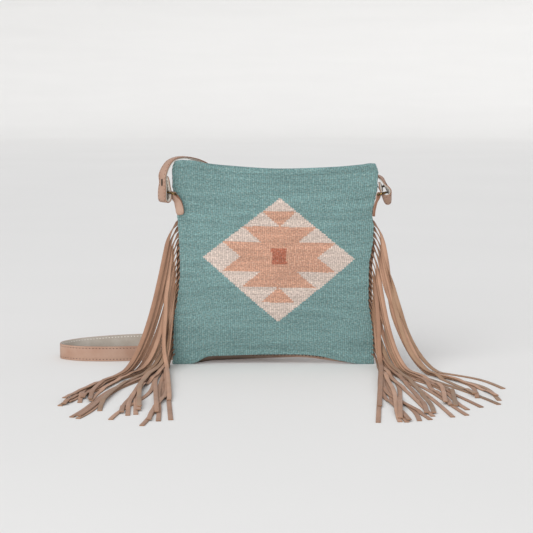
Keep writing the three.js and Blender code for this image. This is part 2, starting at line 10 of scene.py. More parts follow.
import bmesh
import bpy
import numpy as np
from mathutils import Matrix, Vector


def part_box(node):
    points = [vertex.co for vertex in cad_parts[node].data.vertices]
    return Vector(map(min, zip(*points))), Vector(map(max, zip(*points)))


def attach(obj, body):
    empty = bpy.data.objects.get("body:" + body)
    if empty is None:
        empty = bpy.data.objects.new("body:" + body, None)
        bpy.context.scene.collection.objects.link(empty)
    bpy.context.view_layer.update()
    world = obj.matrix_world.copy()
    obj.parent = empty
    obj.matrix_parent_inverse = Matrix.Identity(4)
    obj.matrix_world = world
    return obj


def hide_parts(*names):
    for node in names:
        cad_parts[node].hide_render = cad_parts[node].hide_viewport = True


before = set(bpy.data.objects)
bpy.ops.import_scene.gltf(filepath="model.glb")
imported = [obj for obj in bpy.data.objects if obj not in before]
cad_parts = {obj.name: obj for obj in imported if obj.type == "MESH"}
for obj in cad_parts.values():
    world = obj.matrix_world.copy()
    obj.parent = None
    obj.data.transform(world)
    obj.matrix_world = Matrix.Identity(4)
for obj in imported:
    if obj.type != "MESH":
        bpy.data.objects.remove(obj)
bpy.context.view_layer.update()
print("solids to dress:", ", ".join(sorted(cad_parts)))

# %% [markdown]
# ## One set of millimetres
# A maker measures the bag from the middle of its bottom seam: x to the right, y to the back, z up. Blender
# works in metres in the shared frame. One function does the step between the two, and it finds the seam from
# the two panels' own boxes, so nothing is fitted by eye.

# %% Bag millimetres to metres
MM = 0.001
LEFT_CORNER = -127
front_low, front_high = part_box("front_panel")
back_low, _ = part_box("back_panel")
BAG_ORIGIN = np.array([front_low.x - LEFT_CORNER * MM, (front_high.y + back_low.y) / 2, front_low.z])


def to_frame(points):
    """Bag millimetres as metres in the shared frame."""
    return np.asarray(points, float) * MM + BAG_ORIGIN


print("bottom seam's middle in the frame:", np.round(BAG_ORIGIN, 5))

# %% [markdown]
# ## Camera
# A camera far away with a long lens keeps the woven front square, as in a product picture. The stand and the
# tilt were worked out from how the floor rises behind the bag. Depth of field stays off.

# %% Camera
PICTURE_WIDTH = 533
FOCAL_PIXELS = 1457
CAMERA_STAND = (-9.4, -1800, 344.5)
CAMERA_TILT = 7.02


def add_object(name, data):
    """A new object in the scene's own collection."""
    thing = bpy.data.objects.new(name, data)
    bpy.context.scene.collection.objects.link(thing)
    return thing


camera_data = bpy.data.cameras.new("camera")
camera_data.lens = camera_data.sensor_width * FOCAL_PIXELS / PICTURE_WIDTH
camera = add_object("camera", camera_data)
camera.location = to_frame(CAMERA_STAND)
camera.rotation_euler = (math.radians(90 - CAMERA_TILT), 0, 0)
bpy.context.scene.camera = camera
print("lens in mm:", round(camera_data.lens, 1))

# %% [markdown]
# ## Colours and nodes
# Every finish below is a node tree. Two helpers carry the routine: one turns a hex colour, as a dyer would
# note it, into the linear values that a shader needs, and one adds a node with its settings and links. Where
# a node's sockets share a name, they are picked by number: 6 and 7 are the two colours of a Mix node.

# %% Colour and node helpers
def srgb(colour):
    """An sRGB hex value as linear red, green, blue and alpha."""
    shares = [int(colour[i:i + 2], 16) / 255 for i in (1, 3, 5)]
    return (*[s / 12.92 if s <= 0.04045 else ((s + 0.055) / 1.055) ** 2.4 for s in shares], 1.0)


def add_node(tree, kind, inputs=None, **settings):
    """Adds a shader node. An input that is a socket is linked, and any other value is set."""
    node = tree.nodes.new("ShaderNode" + kind)
    for name, value in settings.items():
        setattr(node, name, value)
    for key, value in (inputs or {}).items():
        if isinstance(value, bpy.types.NodeSocket):
            tree.links.new(value, node.inputs[key])
        else:
            node.inputs[key].default_value = value
    return node


def start_material(name):
    """A new material with an empty node tree."""
    material = bpy.data.materials.new(name)
    material.use_nodes = True
    material.node_tree.nodes.clear()
    return material, material.node_tree


def close_material(tree, inputs):
    """Ends a node tree in one Principled shader."""
    shader = add_node(tree, "BsdfPrincipled", inputs)
    add_node(tree, "OutputMaterial", {"Surface": shader.outputs[0]})


print("white as linear light:", srgb("#ffffff"))

# %% [markdown]
# ## Floor and light
# The stage is a pale floor that turns up into a round wall far away, so no horizon line cuts the picture from
# any side. The light is a bright sky and one very wide sun from the upper left: soft shadows, no hard edge. A
# low card of light in front of the bag, which the camera doesn't see, opens the shade on the fringe.

# %% Floor
FLOOR_RADIUS = 8.0
COVE_RADIUS = 1.5
WALL_HEIGHT = 2.4
COVE_STEPS = 10
FLOOR_SIDES = 96
PLASTER_PATCHES = 30.0

plaster, plaster_tree = start_material("matt_plaster")
plaster_grain = add_node(plaster_tree, "TexNoise", {"Scale": PLASTER_PATCHES, "Detail": 4.0})
plaster_tone = add_node(
    plaster_tree, "Mix",
    {0: plaster_grain.outputs[0], 6: srgb("#dcdbd9"), 7: srgb("#e2e1df")}, data_type="RGBA",
)
close_material(plaster_tree, {"Base Color": plaster_tone.outputs[2], "Roughness": 0.85})

cove = [math.pi / 2 * k / COVE_STEPS for k in range(COVE_STEPS + 1)]
profile = [(FLOOR_RADIUS / 3, 0.0)]
profile += [(FLOOR_RADIUS + COVE_RADIUS * math.sin(a), COVE_RADIUS * (1 - math.cos(a))) for a in cove]
profile += [(FLOOR_RADIUS + COVE_RADIUS, WALL_HEIGHT)]
floor_points = [(0.0, 0.0, 0.0)]
for radius, height in profile:
    for k in range(FLOOR_SIDES):
        turn = 2 * math.pi * k / FLOOR_SIDES
        floor_points.append((radius * math.cos(turn), radius * math.sin(turn), height))
floor_faces = [(0, 1 + k, 1 + (k + 1) % FLOOR_SIDES) for k in range(FLOOR_SIDES)]
for ring in range(len(profile) - 1):
    for k in range(FLOOR_SIDES):
        here, after = 1 + ring * FLOOR_SIDES, 1 + (ring + 1) * FLOOR_SIDES
        following = (k + 1) % FLOOR_SIDES
        floor_faces.append((here + k, after + k, after + following, here + following))
floor_mesh = bpy.data.meshes.new("floor")
floor_mesh.from_pydata(floor_points, [], floor_faces)
floor_mesh.polygons.foreach_set("use_smooth", [True] * len(floor_faces))
floor_mesh.materials.append(plaster)
floor = add_object("floor", floor_mesh)
print("floor faces:", len(floor_faces))

# %% Light
SKY_STRENGTH = 0.64
SUN_STRENGTH = 1.74
SUN_WIDTH = 60
SUN_COURSE = (0.6, 0.95, -1.0)
CARD_POWER = 28
CARD_SIZE = (3.0, 1.0)
CARD_PLACE = (-0.4, -2.6, 0.5)

world = bpy.data.worlds.new("soft_sky")
world.use_nodes = True
world.node_tree.nodes["Background"].inputs["Color"].default_value = srgb("#fbfcff")
world.node_tree.nodes["Background"].inputs["Strength"].default_value = SKY_STRENGTH
bpy.context.scene.world = world
sun_data = bpy.data.lights.new("wide_sun", "SUN")
sun_data.energy = SUN_STRENGTH
sun_data.angle = math.radians(SUN_WIDTH)
sun = add_object("wide_sun", sun_data)
sun.rotation_euler = Vector(SUN_COURSE).to_track_quat("-Z", "Y").to_euler()
card_data = bpy.data.lights.new("low_card", "AREA")
card_data.shape = "RECTANGLE"
card_data.size, card_data.size_y = CARD_SIZE
card_data.energy = CARD_POWER
card = add_object("low_card", card_data)
card.location = CARD_PLACE
card.rotation_euler = (-Vector(CARD_PLACE)).to_track_quat("-Z", "Y").to_euler()
card.visible_camera = False
bpy.context.scene.view_settings.view_transform = "Standard"
print("sky and sun:", SKY_STRENGTH, SUN_STRENGTH)

# %% [markdown]
# ## Curves from short tables
# The bag's outline, its puff and the strap's route are short tables. A smooth curve is read through each one.
# A table of sizes must not overshoot between its rows, so its slopes are damped. A strap bends freely, so its
# route uses the plain slope between neighbours.

# %% Curve helpers
def follow(knots, values, at, level=True):
    """The smooth curve through a table's rows, read at the given places."""
    knots = np.asarray(knots, float)
    values = np.asarray(values, float)
    span = np.diff(knots)
    secant = np.diff(values) / span
    before, after = secant[:-1], secant[1:]
    slope = np.zeros_like(values)
    if level:
        agree = before * after > 0
        slope[1:-1] = np.where(agree, 2 * before * after / np.where(agree, before + after, 1), 0)
    else:
        slope[1:-1] = (before * span[1:] + after * span[:-1]) / (span[1:] + span[:-1])
        slope[0], slope[-1] = secant[0], secant[-1]
    at = np.clip(at, knots[0], knots[-1])
    i = np.clip(np.searchsorted(knots, at) - 1, 0, len(span) - 1)
    t = (at - knots[i]) / span[i]
    level_part = values[i] * (1 + 2 * t) * (1 - t) ** 2 + values[i + 1] * t * t * (3 - 2 * t)
    return level_part + span[i] * t * (1 - t) * (slope[i] * (1 - t) - slope[i + 1] * t)


def unit(vectors):
    """Each vector at length 1."""
    return vectors / np.linalg.norm(vectors, axis=-1, keepdims=True)


def running(points):
    """The length of a path up to each of its points."""
    return np.concatenate([[0], np.cumsum(np.linalg.norm(np.diff(points, axis=0), axis=1))])


print("a curve through 0, 1, 0 at a half:", follow([0, 1, 2], [0, 1, 0], 0.5))

# %% Piece helpers
def add_piece(name, points, faces, material, node=None, slot=None):
    """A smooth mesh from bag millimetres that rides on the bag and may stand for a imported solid."""
    mesh = bpy.data.meshes.new(name)
    mesh.from_pydata(to_frame(points).tolist(), [], faces)
    shape = bmesh.new()
    shape.from_mesh(mesh)
    bmesh.ops.recalc_face_normals(shape, faces=shape.faces)
    shape.to_mesh(mesh)
    shape.free()
    mesh.polygons.foreach_set("use_smooth", [True] * len(mesh.polygons))
    mesh.materials.append(material)
    piece = add_object(name, mesh)
    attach(piece, "root")
    if node:
        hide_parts(node)
    return piece


def mark(piece, name, values):
    """A value for each vertex, which the piece's material reads by name."""
    attribute = piece.data.attributes.new(name, "FLOAT", "POINT")
    attribute.data.foreach_set("value", np.asarray(values, np.float32).ravel())


def stray(index, salt):
    """A steady scatter from -1 to 1, the same at every run."""
    raw = np.sin(index * 12.9898 + salt * 78.233) * 43758.5453
    return 2 * (raw - np.floor(raw)) - 1


print("a steady scatter:", np.round(stray(np.arange(4), 1), 2))

# %% [markdown]
# ## The pouch's shape
# Both panels share one outline. The sides pinch in at mid height, the mouth sags and the bottom seam arches
# up between the two corners that carry the bag. A puff table says how far a panel swells at each height.

# %% Outline tables
BAG_HEIGHT = 254
OUTLINE = np.array([
    # z, left, right
    (0, -127, 125), (41, -126, 124), (61, -125, 121), (81, -121, 118), (120, -117, 118), (160, -118, 123),
    (176, -119.2, 123.4), (190, -120.2, 121.2), (204, -121.5, 123.4), (213, -122.5, 125.4),
    (224, -125.4, 127.4), (246, -125.6, 128), (250.5, -125, 127.4), (254, -122.6, 125),
])
TOP_EDGE = np.array([
    (-127, 251), (-121, 254.4), (-113, 255.5), (-103, 255.2), (-84, 251.8), (-60, 249.2), (10, 245.2),
    (70, 247), (108, 250), (118, 251.4), (123.5, 251.2), (130, 247.6),
])
BOTTOM_EDGE = np.array([
    (-127, 0), (-105, 0), (-80, 10), (25, 12.5), (54, 10.5), (84, 4), (110, 0), (127, 0),
])
# The share of the full puff from the bottom seam, 0, to the mouth, 1
PUFF_UP = np.array([(0, 0.04), (0.09, 0.5), (0.2, 0.85), (0.4, 1), (0.7, 0.76), (0.9, 0.5), (1, 0.42)])


def side_edge(column, z):
    """The outline's x at a height: column 1 is the left edge, column 2 the right."""
    return follow(OUTLINE[:, 0], OUTLINE[:, column], z)


print("width at the mouth:", round(float(side_edge(2, BAG_HEIGHT) - side_edge(1, BAG_HEIGHT)), 1), "mm")

# %% Panel surface
PUFF_POWER = 0.8
SEAM_HALF_GAP = 1
BOTTOM_HALF_GAP = 0.2
BOTTOM_SEAM_TOP = 0.035


def panel_surface(side, puff, u, v, depth):
    """A point of a panel: u runs from -1 to 1 across, v from 0 to 1 up, depth out from the inner face."""
    left = side_edge(1, v * BAG_HEIGHT)
    right = side_edge(2, v * BAG_HEIGHT)
    x = left + (right - left) * (u + 1) / 2
    low = follow(*BOTTOM_EDGE.T, x)
    z = low + (follow(*TOP_EDGE.T, x) - low) * v
    gap = np.interp(v, [0, BOTTOM_SEAM_TOP], [BOTTOM_HALF_GAP, SEAM_HALF_GAP])
    swell = puff * (1 - u * u) ** PUFF_POWER * follow(*PUFF_UP.T, v)
    return np.stack([x, side * (gap + swell + depth), z], -1)


def swells(u, v, across, up, tall, start):
    """Slow hand-made unevenness of a panel: two waves that cross each other."""
    return np.sin(across * u + up * v) * np.sin(tall * v + start)


print("middle of a flat panel:", np.round(panel_surface(-1, 0, 0, 0.5, 0), 1))

# %% Panel grids
def grid_faces(first, rows, columns):
    """Four-sided faces between the points of a grid, listed row by row."""
    r, c = np.meshgrid(np.arange(rows - 1), np.arange(columns - 1), indexing="ij")
    corner = first + r * columns + c
    return np.stack([corner, corner + 1, corner + columns + 1, corner + columns], -1).reshape(-1, 4).tolist()


def grid_rim(first, rows, columns):
    """The numbers of a grid's border points, once round."""
    index = first + np.arange(rows * columns).reshape(rows, columns)
    return np.concatenate([index[0, :-1], index[:-1, -1], index[-1, :0:-1], index[:0:-1, 0]])


def panel_shell(outer, inner, coarser):
    """A closed sheet: a fine outer grid and an inner grid, coarser by a whole number, joined at the rim."""
    rows, columns = outer.shape[:2]
    inner_rows, inner_columns = inner.shape[:2]
    first = rows * columns
    faces = grid_faces(0, rows, columns) + grid_faces(first, inner_rows, inner_columns)
    fine = grid_rim(0, rows, columns)
    coarse = grid_rim(first, inner_rows, inner_columns)
    for k, here in enumerate(coarse):
        after = coarse[(k + 1) % len(coarse)]
        for j in range(coarser):
            a, b = fine[k * coarser + j], fine[(k * coarser + j + 1) % len(fine)]
            faces.append((int(here), int(a), int(b)))
        faces.append((int(here), int(b), int(after)))
    return np.concatenate([outer.reshape(-1, 3), inner.reshape(-1, 3)]), faces


print("rim points of a grid of 3 by 4:", len(grid_rim(0, 3, 4)))

# %% [markdown]
# ## Hand-spun wool
# The front is weft-faced: thick wool passes are beaten down until they hide the warp, so the eye sees upright
# ribs, one for each warp thread, crossed by fine passes. Hand-dyed wool is never even. Flecks come from the
# spinning, and faint bands across the cloth come from one dye bath after another. The colour of each pass is
# stored in the mesh, and the nodes add flecks, bands, shade between the ribs and a fuzzy bump.

# %% Wool material
# Three kinds of unevenness: their length in ribs, their height in passes, and their darkest and lightest tone
FLECKS = (1.0, 1.5, 0.6, 1.4)
STREAKS = (7, 2.2, 0.88, 1.12)
DYE_BANDS = (40, 6, 0.82, 1.18)
FLEECE_RIBS, FLEECE_PASSES, FLEECE_SHARE = 0.9, 1.4, 0.34
FLEECE_SHIFT = (50, 50, 0)
FIBRE_WIDTH = 0.25


def wool_cloth():
    """Hand-spun, plant-dyed sheep's wool: dull, fuzzy, with flecks along each pass."""
    material, tree = start_material("hand_spun_wool")
    yarn = add_node(tree, "Attribute", attribute_name="yarn")
    weave = add_node(tree, "UVMap", uv_map="weave").outputs[0]
    along = add_node(tree, "SeparateXYZ", {0: weave})
    tone = None
    for ribs, passes, dark, light in (FLECKS, STREAKS, DYE_BANDS):
        stretched = add_node(tree, "Mapping", {"Vector": weave, "Scale": (1 / ribs, 1 / passes, 1)})
        cloud = add_node(tree, "TexNoise", {"Vector": stretched.outputs[0], "Scale": 1.0, "Detail": 3.0})
        layer = add_node(tree, "MapRange", {0: cloud.outputs[0], 1: 0.25, 2: 0.75, 3: dark, 4: light})
        if tone is not None:
            layer = add_node(tree, "Math", {0: tone, 1: layer.outputs[0]}, operation="MULTIPLY")
        tone = layer.outputs[0]
    shifted = add_node(tree, "Mapping", {
        "Vector": weave, "Location": FLEECE_SHIFT, "Scale": (1 / FLEECE_RIBS, 1 / FLEECE_PASSES, 1),
    })
    tufts = add_node(tree, "TexNoise", {"Vector": shifted.outputs[0], "Scale": 1.0, "Detail": 2.0})
    undyed = add_node(tree, "MapRange", {0: tufts.outputs[0], 1: 0.5, 2: 0.75, 3: 0.0, 4: FLEECE_SHARE})
    heather = add_node(
        tree, "Mix", {0: undyed.outputs[0], 6: yarn.outputs["Color"], 7: srgb("#b6b2a4")}, data_type="RGBA",
    )
    # Painted shade between the ribs: the colour falls to 0.78 in each valley and is full on each rib's crown
    phase = add_node(tree, "Math", {0: along.outputs[0], 1: math.pi}, operation="MULTIPLY")
    wave = add_node(tree, "Math", {0: phase.outputs[0]}, operation="SINE")
    crown = add_node(tree, "Math", {0: wave.outputs[0]}, operation="ABSOLUTE")
    rib_valley_shade = add_node(tree, "MapRange", {0: crown.outputs[0], 1: 0.0, 2: 0.7, 3: 0.78, 4: 1.0})
    shade = add_node(tree, "Math", {0: tone, 1: rib_valley_shade.outputs[0]}, operation="MULTIPLY")
    colour = add_node(
        tree, "VectorMath", {0: heather.outputs[2], "Scale": shade.outputs[0]}, operation="SCALE",
    )
    place = add_node(tree, "TexCoord").outputs["Object"]
    fibres = add_node(tree, "TexNoise", {"Vector": place, "Scale": 1 / (FIBRE_WIDTH * MM), "Detail": 2.0})
    bump = add_node(
        tree, "Bump", {"Height": fibres.outputs[0], "Strength": 0.5, "Distance": FIBRE_WIDTH * MM},
    )
    close_material(tree, {
        "Base Color": colour.outputs[0], "Normal": bump.outputs[0], "Roughness": 0.95,
        "Specular IOR Level": 0.2, "Sheen Weight": 0.25, "Sheen Roughness": 0.45,
    })
    return material


WOOL = wool_cloth()
print("made", WOOL.name)

# %% [markdown]
# ## The woven front
# The cloth is one closed sheet. Its outer grid has four columns to a rib and a row to each pass, so the ribs
# and the over-and-under of the passes are real relief, not only bump. A fold at the mouth makes the hem, with
# a row of stitches pulled in below it. The inner side is four times coarser, because nothing there shows.

# %% Ribs and passes
RIB_PITCH = 2.6
PASS_PITCH = 1.27
RIB_COLUMNS = 4
RIB_ROUNDNESS = 0.7
INNER_STEP = 4

RIB_COUNT = round(float(np.ptp(OUTLINE[0, 1:])) / RIB_PITCH)
PASS_COUNT = round(BAG_HEIGHT / PASS_PITCH)
u = np.linspace(-1, 1, RIB_COUNT * RIB_COLUMNS + 1)
v = np.linspace(0, 1, PASS_COUNT + 1)
U, V = np.meshgrid(u, v)
rib = (U + 1) / 2 * RIB_COUNT
crown = np.abs(np.sin(np.pi * rib)) ** RIB_ROUNDNESS
over_under = np.where((np.floor(rib).astype(int) + np.arange(PASS_COUNT + 1)[:, None]) % 2 == 0, 1, -1)
print("ribs and passes:", RIB_COUNT, PASS_COUNT)

# %% Front panel relief
FRONT_PUFF = 15
WOOL_THICKNESS = 3
RIB_DEPTH = 0.75
PASS_DEPTH = 0.16
HEM_DEPTH, HEM_EXTRA, HEM_SLOPE = 9.5, 0.9, 2
STITCH_PULL, STITCH_REACH = 0.55, 0.9
# How the folded mouth rounds off: mm below it, and mm out
MOUTH_ROUNDING = np.array([(0, -1.1), (1.3, -0.3), (2.6, 0)])
RIPPLE_DEPTH, CREASE_SHARE = 0.5, 0.5
FRONT_SWELLS = (5.1, 3.3, 7.3, 1.1)
CREASES = (11, -9)
SIDE_FADE = 4

below_mouth = (1 - V) * BAG_HEIGHT
hem = HEM_EXTRA * np.clip((HEM_DEPTH - below_mouth) / HEM_SLOPE + 0.5, 0, 1)
pull = STITCH_PULL * np.exp(-((below_mouth - HEM_DEPTH) / STITCH_REACH) ** 2)
creases = CREASE_SHARE * np.sin(CREASES[0] * U + CREASES[1] * V)
ripple = RIPPLE_DEPTH * (swells(U, V, *FRONT_SWELLS) + creases) * (1 - U ** SIDE_FADE)
relief = RIB_DEPTH * (crown - 1) + PASS_DEPTH * over_under * crown + ripple
relief = relief + hem - pull + np.interp(below_mouth, *MOUTH_ROUNDING.T)
front_outer = panel_surface(-1, FRONT_PUFF, U, V, WOOL_THICKNESS + relief)
print("relief from", round(float(relief.min()), 1), "to", round(float(relief.max()), 1), "mm")

# %% Uneven edges
EDGE_STRAY = 0.5
# Waves along the side edges: their length divided by a full turn, their start, and how far the sides differ
EDGE_WAVES = ((1.31, 0, 0), (0.83, 0, 2), (2.7, 1, 0))
EDGE_SHARPNESS = 60
TOP_ROWS = 0.985
MEAN_CROWN = 0.6

level = front_outer[..., 2]
bumps = sum(np.sin(level / length + begin + aside * np.sign(U)) for length, begin, aside in EDGE_WAVES)
front_outer[..., 0] += EDGE_STRAY * np.sign(U) * bumps / 2 * np.abs(U) ** EDGE_SHARPNESS
front_outer[..., 2] += EDGE_STRAY * (crown - MEAN_CROWN) * np.clip((V - TOP_ROWS) / (1 - TOP_ROWS), 0, 1)
front_inner = panel_surface(-1, FRONT_PUFF, U, V, 0)[::INNER_STEP, ::INNER_STEP]
front_points, front_faces = panel_shell(front_outer, front_inner, INNER_STEP)
print("front panel faces:", len(front_faces))

# %% [markdown]
# ## The diamond
# A weaver works a diamond by counting: each pass covers a whole number of ribs, so every slanted edge is a
# small stair. A short table gives the half width of the peach figure at each height from the middle. A face
# of the mesh takes its colour from the rib and the pass that it belongs to, which draws the stairs by itself.

# %% Diamond
DIAMOND_MIDDLE = (6, 134.8)
DIAMOND_HALF_WIDTH = 94
DIAMOND_RISE, DIAMOND_FALL = 74.4, 79.3
DIAMOND_LEAN = 1.0
FIGURE_RAISED = 1.7
HEART_RAISED = 2.9
HEART_HALF = (9.4, 10)
FIGURE = [
    # from, to, half width there, half width there
    (0, 18.1, 47.7, 70),
    (18.1, 37.4, 22.4, 45.7),
    (37.4, 56.2, 0, 21),
]
TEAL, CREAM, PEACH, BRICK = (srgb(c)[:3] for c in ("#6c8b8a", "#c3b3a9", "#bc907a", "#a3624d"))

middle_u = (np.floor((u[:-1] + u[1:]) / 4 * RIB_COUNT + RIB_COUNT / 2) + 0.5) * 2 / RIB_COUNT - 1
middle = panel_surface(-1, FRONT_PUFF, *np.meshgrid(middle_u, (v[:-1] + v[1:]) / 2), 0)
lean = math.radians(DIAMOND_LEAN)
dx, dz = middle[..., 0] - DIAMOND_MIDDLE[0], middle[..., 2] - DIAMOND_MIDDLE[1]
aside, up = dx * math.cos(lean) - dz * math.sin(lean), dx * math.sin(lean) + dz * math.cos(lean)
aside = np.abs(aside)
yarn = np.broadcast_to(np.array(TEAL), (*aside.shape, 3)).copy()
yarn[aside / DIAMOND_HALF_WIDTH + np.maximum(up / DIAMOND_RISE, -up / DIAMOND_FALL) < 1] = CREAM
from_figure = np.abs(up - FIGURE_RAISED)
for low, high, low_half, high_half in FIGURE:
    half = low_half + (high_half - low_half) * (from_figure - low) / (high - low)
    yarn[(from_figure >= low) & (from_figure < high) & (aside < half)] = PEACH
yarn[(aside < HEART_HALF[0]) & (np.abs(up - HEART_RAISED) < HEART_HALF[1])] = BRICK
face_yarn = np.broadcast_to(np.array(TEAL), (len(front_faces), 3)).copy()
face_yarn[:yarn.shape[0] * yarn.shape[1]] = yarn.reshape(-1, 3)
print("passes by ribs in the chart:", PASS_COUNT, "by", RIB_COUNT)

# %% Front panel piece
front = add_piece("front_panel_wool", front_points, front_faces, WOOL, "front_panel", "wool")
face_sides = np.zeros(len(front.data.polygons), int)
front.data.polygons.foreach_get("loop_total", face_sides)
corner_colours = np.ones((len(front.data.loops), 4), np.float32)
corner_colours[:, :3] = np.repeat(face_yarn, face_sides, axis=0)
yarn_layer = front.data.color_attributes.new("yarn", "FLOAT_COLOR", "CORNER")
yarn_layer.data.foreach_set("color", corner_colours.ravel())
counted = np.stack([rib, V * PASS_COUNT], -1)
counted_inside = counted[::INNER_STEP, ::INNER_STEP]
weave = np.concatenate([counted.reshape(-1, 2), counted_inside.reshape(-1, 2)])
corner_points = np.zeros(len(front.data.loops), int)
front.data.loops.foreach_get("vertex_index", corner_points)
front.data.uv_layers.new(name="weave").data.foreach_set("uv", weave[corner_points].ravel())
print("front panel triangles:", int((face_sides - 2).sum()))

# %% [markdown]
# ## Vegetable-tanned leather
# Tabs, strap and back are undyed hide: pale pinkish tan, with a fine pebble of pores, slow cloudy patches and
# edges that were rubbed darker. Each mesh marks its edges, and the nodes darken the marked part.

# %% Leather material
PORE_WIDTH = 0.9
CLOUD_WIDTH = 22


def tanned_hide(name, pale, deep, edge):
    """Vegetable-tanned hide with a natural grain: pale, cloudy and half matt."""
    material, tree = start_material(name)
    place = add_node(tree, "TexCoord").outputs["Object"]
    cloud = add_node(tree, "TexNoise", {"Vector": place, "Scale": 1 / (CLOUD_WIDTH * MM), "Detail": 5.0})
    spread = add_node(tree, "MapRange", {0: cloud.outputs[0], 1: 0.32, 2: 0.68})
    body = add_node(tree, "Mix", {0: spread.outputs[0], 6: srgb(pale), 7: srgb(deep)}, data_type="RGBA")
    # The marked part darkens toward the edge colour: rubbed edges on every piece, and painted shade on the
    # back's lower lip
    rubbed = add_node(tree, "Attribute", attribute_name="edge")
    colour = add_node(
        tree, "Mix", {0: rubbed.outputs["Fac"], 6: body.outputs[2], 7: srgb(edge)}, data_type="RGBA",
    )
    pores = add_node(tree, "TexVoronoi", {"Vector": place, "Scale": 1 / (PORE_WIDTH * MM)})
    fine = add_node(tree, "TexNoise", {"Vector": place, "Scale": 2 / (PORE_WIDTH * MM), "Detail": 4.0})
    grain = add_node(tree, "Math", {0: pores.outputs[0], 1: fine.outputs[0]}, operation="ADD")
    bump = add_node(tree, "Bump", {"Height": grain.outputs[0], "Strength": 0.25, "Distance": 0.15 * MM})
    gloss = add_node(tree, "MapRange", {0: fine.outputs[0], 1: 0.3, 2: 0.7, 3: 0.5, 4: 0.68})
    close_material(tree, {
        "Base Color": colour.outputs[2], "Normal": bump.outputs[0], "Roughness": gloss.outputs[0],
        "Specular IOR Level": 0.4,
    })
    return material


HIDE = tanned_hide("vegetable_tanned_hide", "#b39684", "#a3816e", "#7f563f")
# The back's edge colour is near black: it darkens the rubbed side edges, and it paints the shade under the
# arch on the lower lip
BACK_HIDE = tanned_hide("back_hide_rubbed_and_painted_shade", "#b39684", "#a3816e", "#2e241c")
print("made", HIDE.name, "and", BACK_HIDE.name)

# %% [markdown]
# ## The back
# The back is one plain piece of the same hide. Its lower edge is a little longer than the wool, so a thin
# line of leather with dark stitches shows under the arched bottom seam. That lower edge is painted near
# black,
# most at the left: painted shade in the gap under the arch.

# %% Back panel
BACK_PUFF = 21
BACK_THICKNESS = 2
BACK_GRID = 96
BACK_EDGE_MARK = 0.012
BACK_SIDE_MARK = 0.45
LIP_ROWS = 0.03
ARCH_FOR_LIP = 9
BACK_RIPPLE = 0.5
BACK_SWELLS = (4.3, 2.1, 6.1, 0.4)
# Across the bag, mm: how far the back ends below the wool's top, how far it hangs below the bottom seam, and
# how dark that lower edge is painted, as painted shade under the arch
MOUTH_DROP = np.array([(-112, 0.2), (-92, 3.2)])
MOUTH_FROM = 0.9
LIP_DEPTH = np.array([(-60, 6), (0, 5), (40, 4)])
LIP_PAINTED_SHADE = np.array([(-40, 1), (0, 0.7), (30, 0.2)])


def back_surface(u, v, depth):
    """A point of the back: lower than the wool at the mouth, and a little longer under the arch."""
    place = panel_surface(1, BACK_PUFF, u, v, depth)
    x = place[..., 0]
    arch = np.clip(follow(*BOTTOM_EDGE.T, x) / ARCH_FOR_LIP, 0, 1)
    place[..., 2] -= np.interp(x, *LIP_DEPTH.T) * arch * np.clip(1 - v / LIP_ROWS, 0, 1)
    place[..., 2] -= np.interp(x, *MOUTH_DROP.T) * np.clip((v - MOUTH_FROM) / (1 - MOUTH_FROM), 0, 1)
    return place


BU, BV = np.meshgrid(np.linspace(-1, 1, BACK_GRID + 1), np.linspace(0, 1, BACK_GRID + 1))
wave = BACK_RIPPLE * swells(BU, BV, *BACK_SWELLS) * (1 - BU ** SIDE_FADE)
back_outer = back_surface(BU, BV, BACK_THICKNESS + wave)
back_inner = back_surface(BU, BV, 0)[::INNER_STEP, ::INNER_STEP]
back_points, back_faces = panel_shell(back_outer, back_inner, INNER_STEP)
back = add_piece("back_panel_leather", back_points, back_faces, BACK_HIDE, "back_panel", "hide")
near_edge = np.minimum.reduce([1 - np.abs(BU), 2 * BV, 2 - 2 * BV])
# The lowest rows are painted near black, most at the left: painted shade in the gap under the arched seam
lip_painted_shade = np.interp(back_outer[..., 0], *LIP_PAINTED_SHADE.T) * (BV < LIP_ROWS / 2)
edge_rubbing_and_lip_shade = np.maximum(BACK_SIDE_MARK * np.clip(1 - near_edge / BACK_EDGE_MARK, 0, 1), lip_painted_shade)
mark(back, "edge", np.concatenate([edge_rubbing_and_lip_shade.ravel(), lip_painted_shade[::INNER_STEP, ::INNER_STEP].ravel()]))
print("back panel faces:", len(back_faces))

# %% [markdown]
# ## Bands and wires
# Strap, tabs, fringe strips and rings are all one idea: a small section carried along a path. A band needs
# its width direction at each station, and its outer face then follows from the path.

# %% Sweep helpers
def band_frame(centres, across, closed=False):
    """Width, travel and outward directions along a path."""
    if closed:
        travel = np.roll(centres, -1, 0) - np.roll(centres, 1, 0)
    else:
        travel = np.gradient(centres, axis=0)
    travel = unit(travel)
    across = unit(across - (across * travel).sum(-1, keepdims=True) * travel)
    return across, travel, np.cross(across, travel)


def sweep(centres, across, out, section, closed=False):
    """Points and faces of a section, listed anticlockwise, carried along a path."""
    stations, corners = len(centres), section.shape[-2]
    section = np.broadcast_to(section, (stations, corners, 2))
    points = centres[:, None] + section[..., :1] * across[:, None] + section[..., 1:] * out[:, None]
    last = stations if closed else stations - 1
    i, j = np.meshgrid(np.arange(last), np.arange(corners), indexing="ij")
    after, following = (i + 1) % stations, (j + 1) % corners
    faces = np.stack([
        i * corners + j, after * corners + j, after * corners + following, i * corners + following,
    ], -1).reshape(-1, 4).tolist()
    if not closed:
        faces.append(list(range(corners)))
        faces.append([(stations - 1) * corners + k for k in reversed(range(corners))])
    return points.reshape(-1, 3), faces


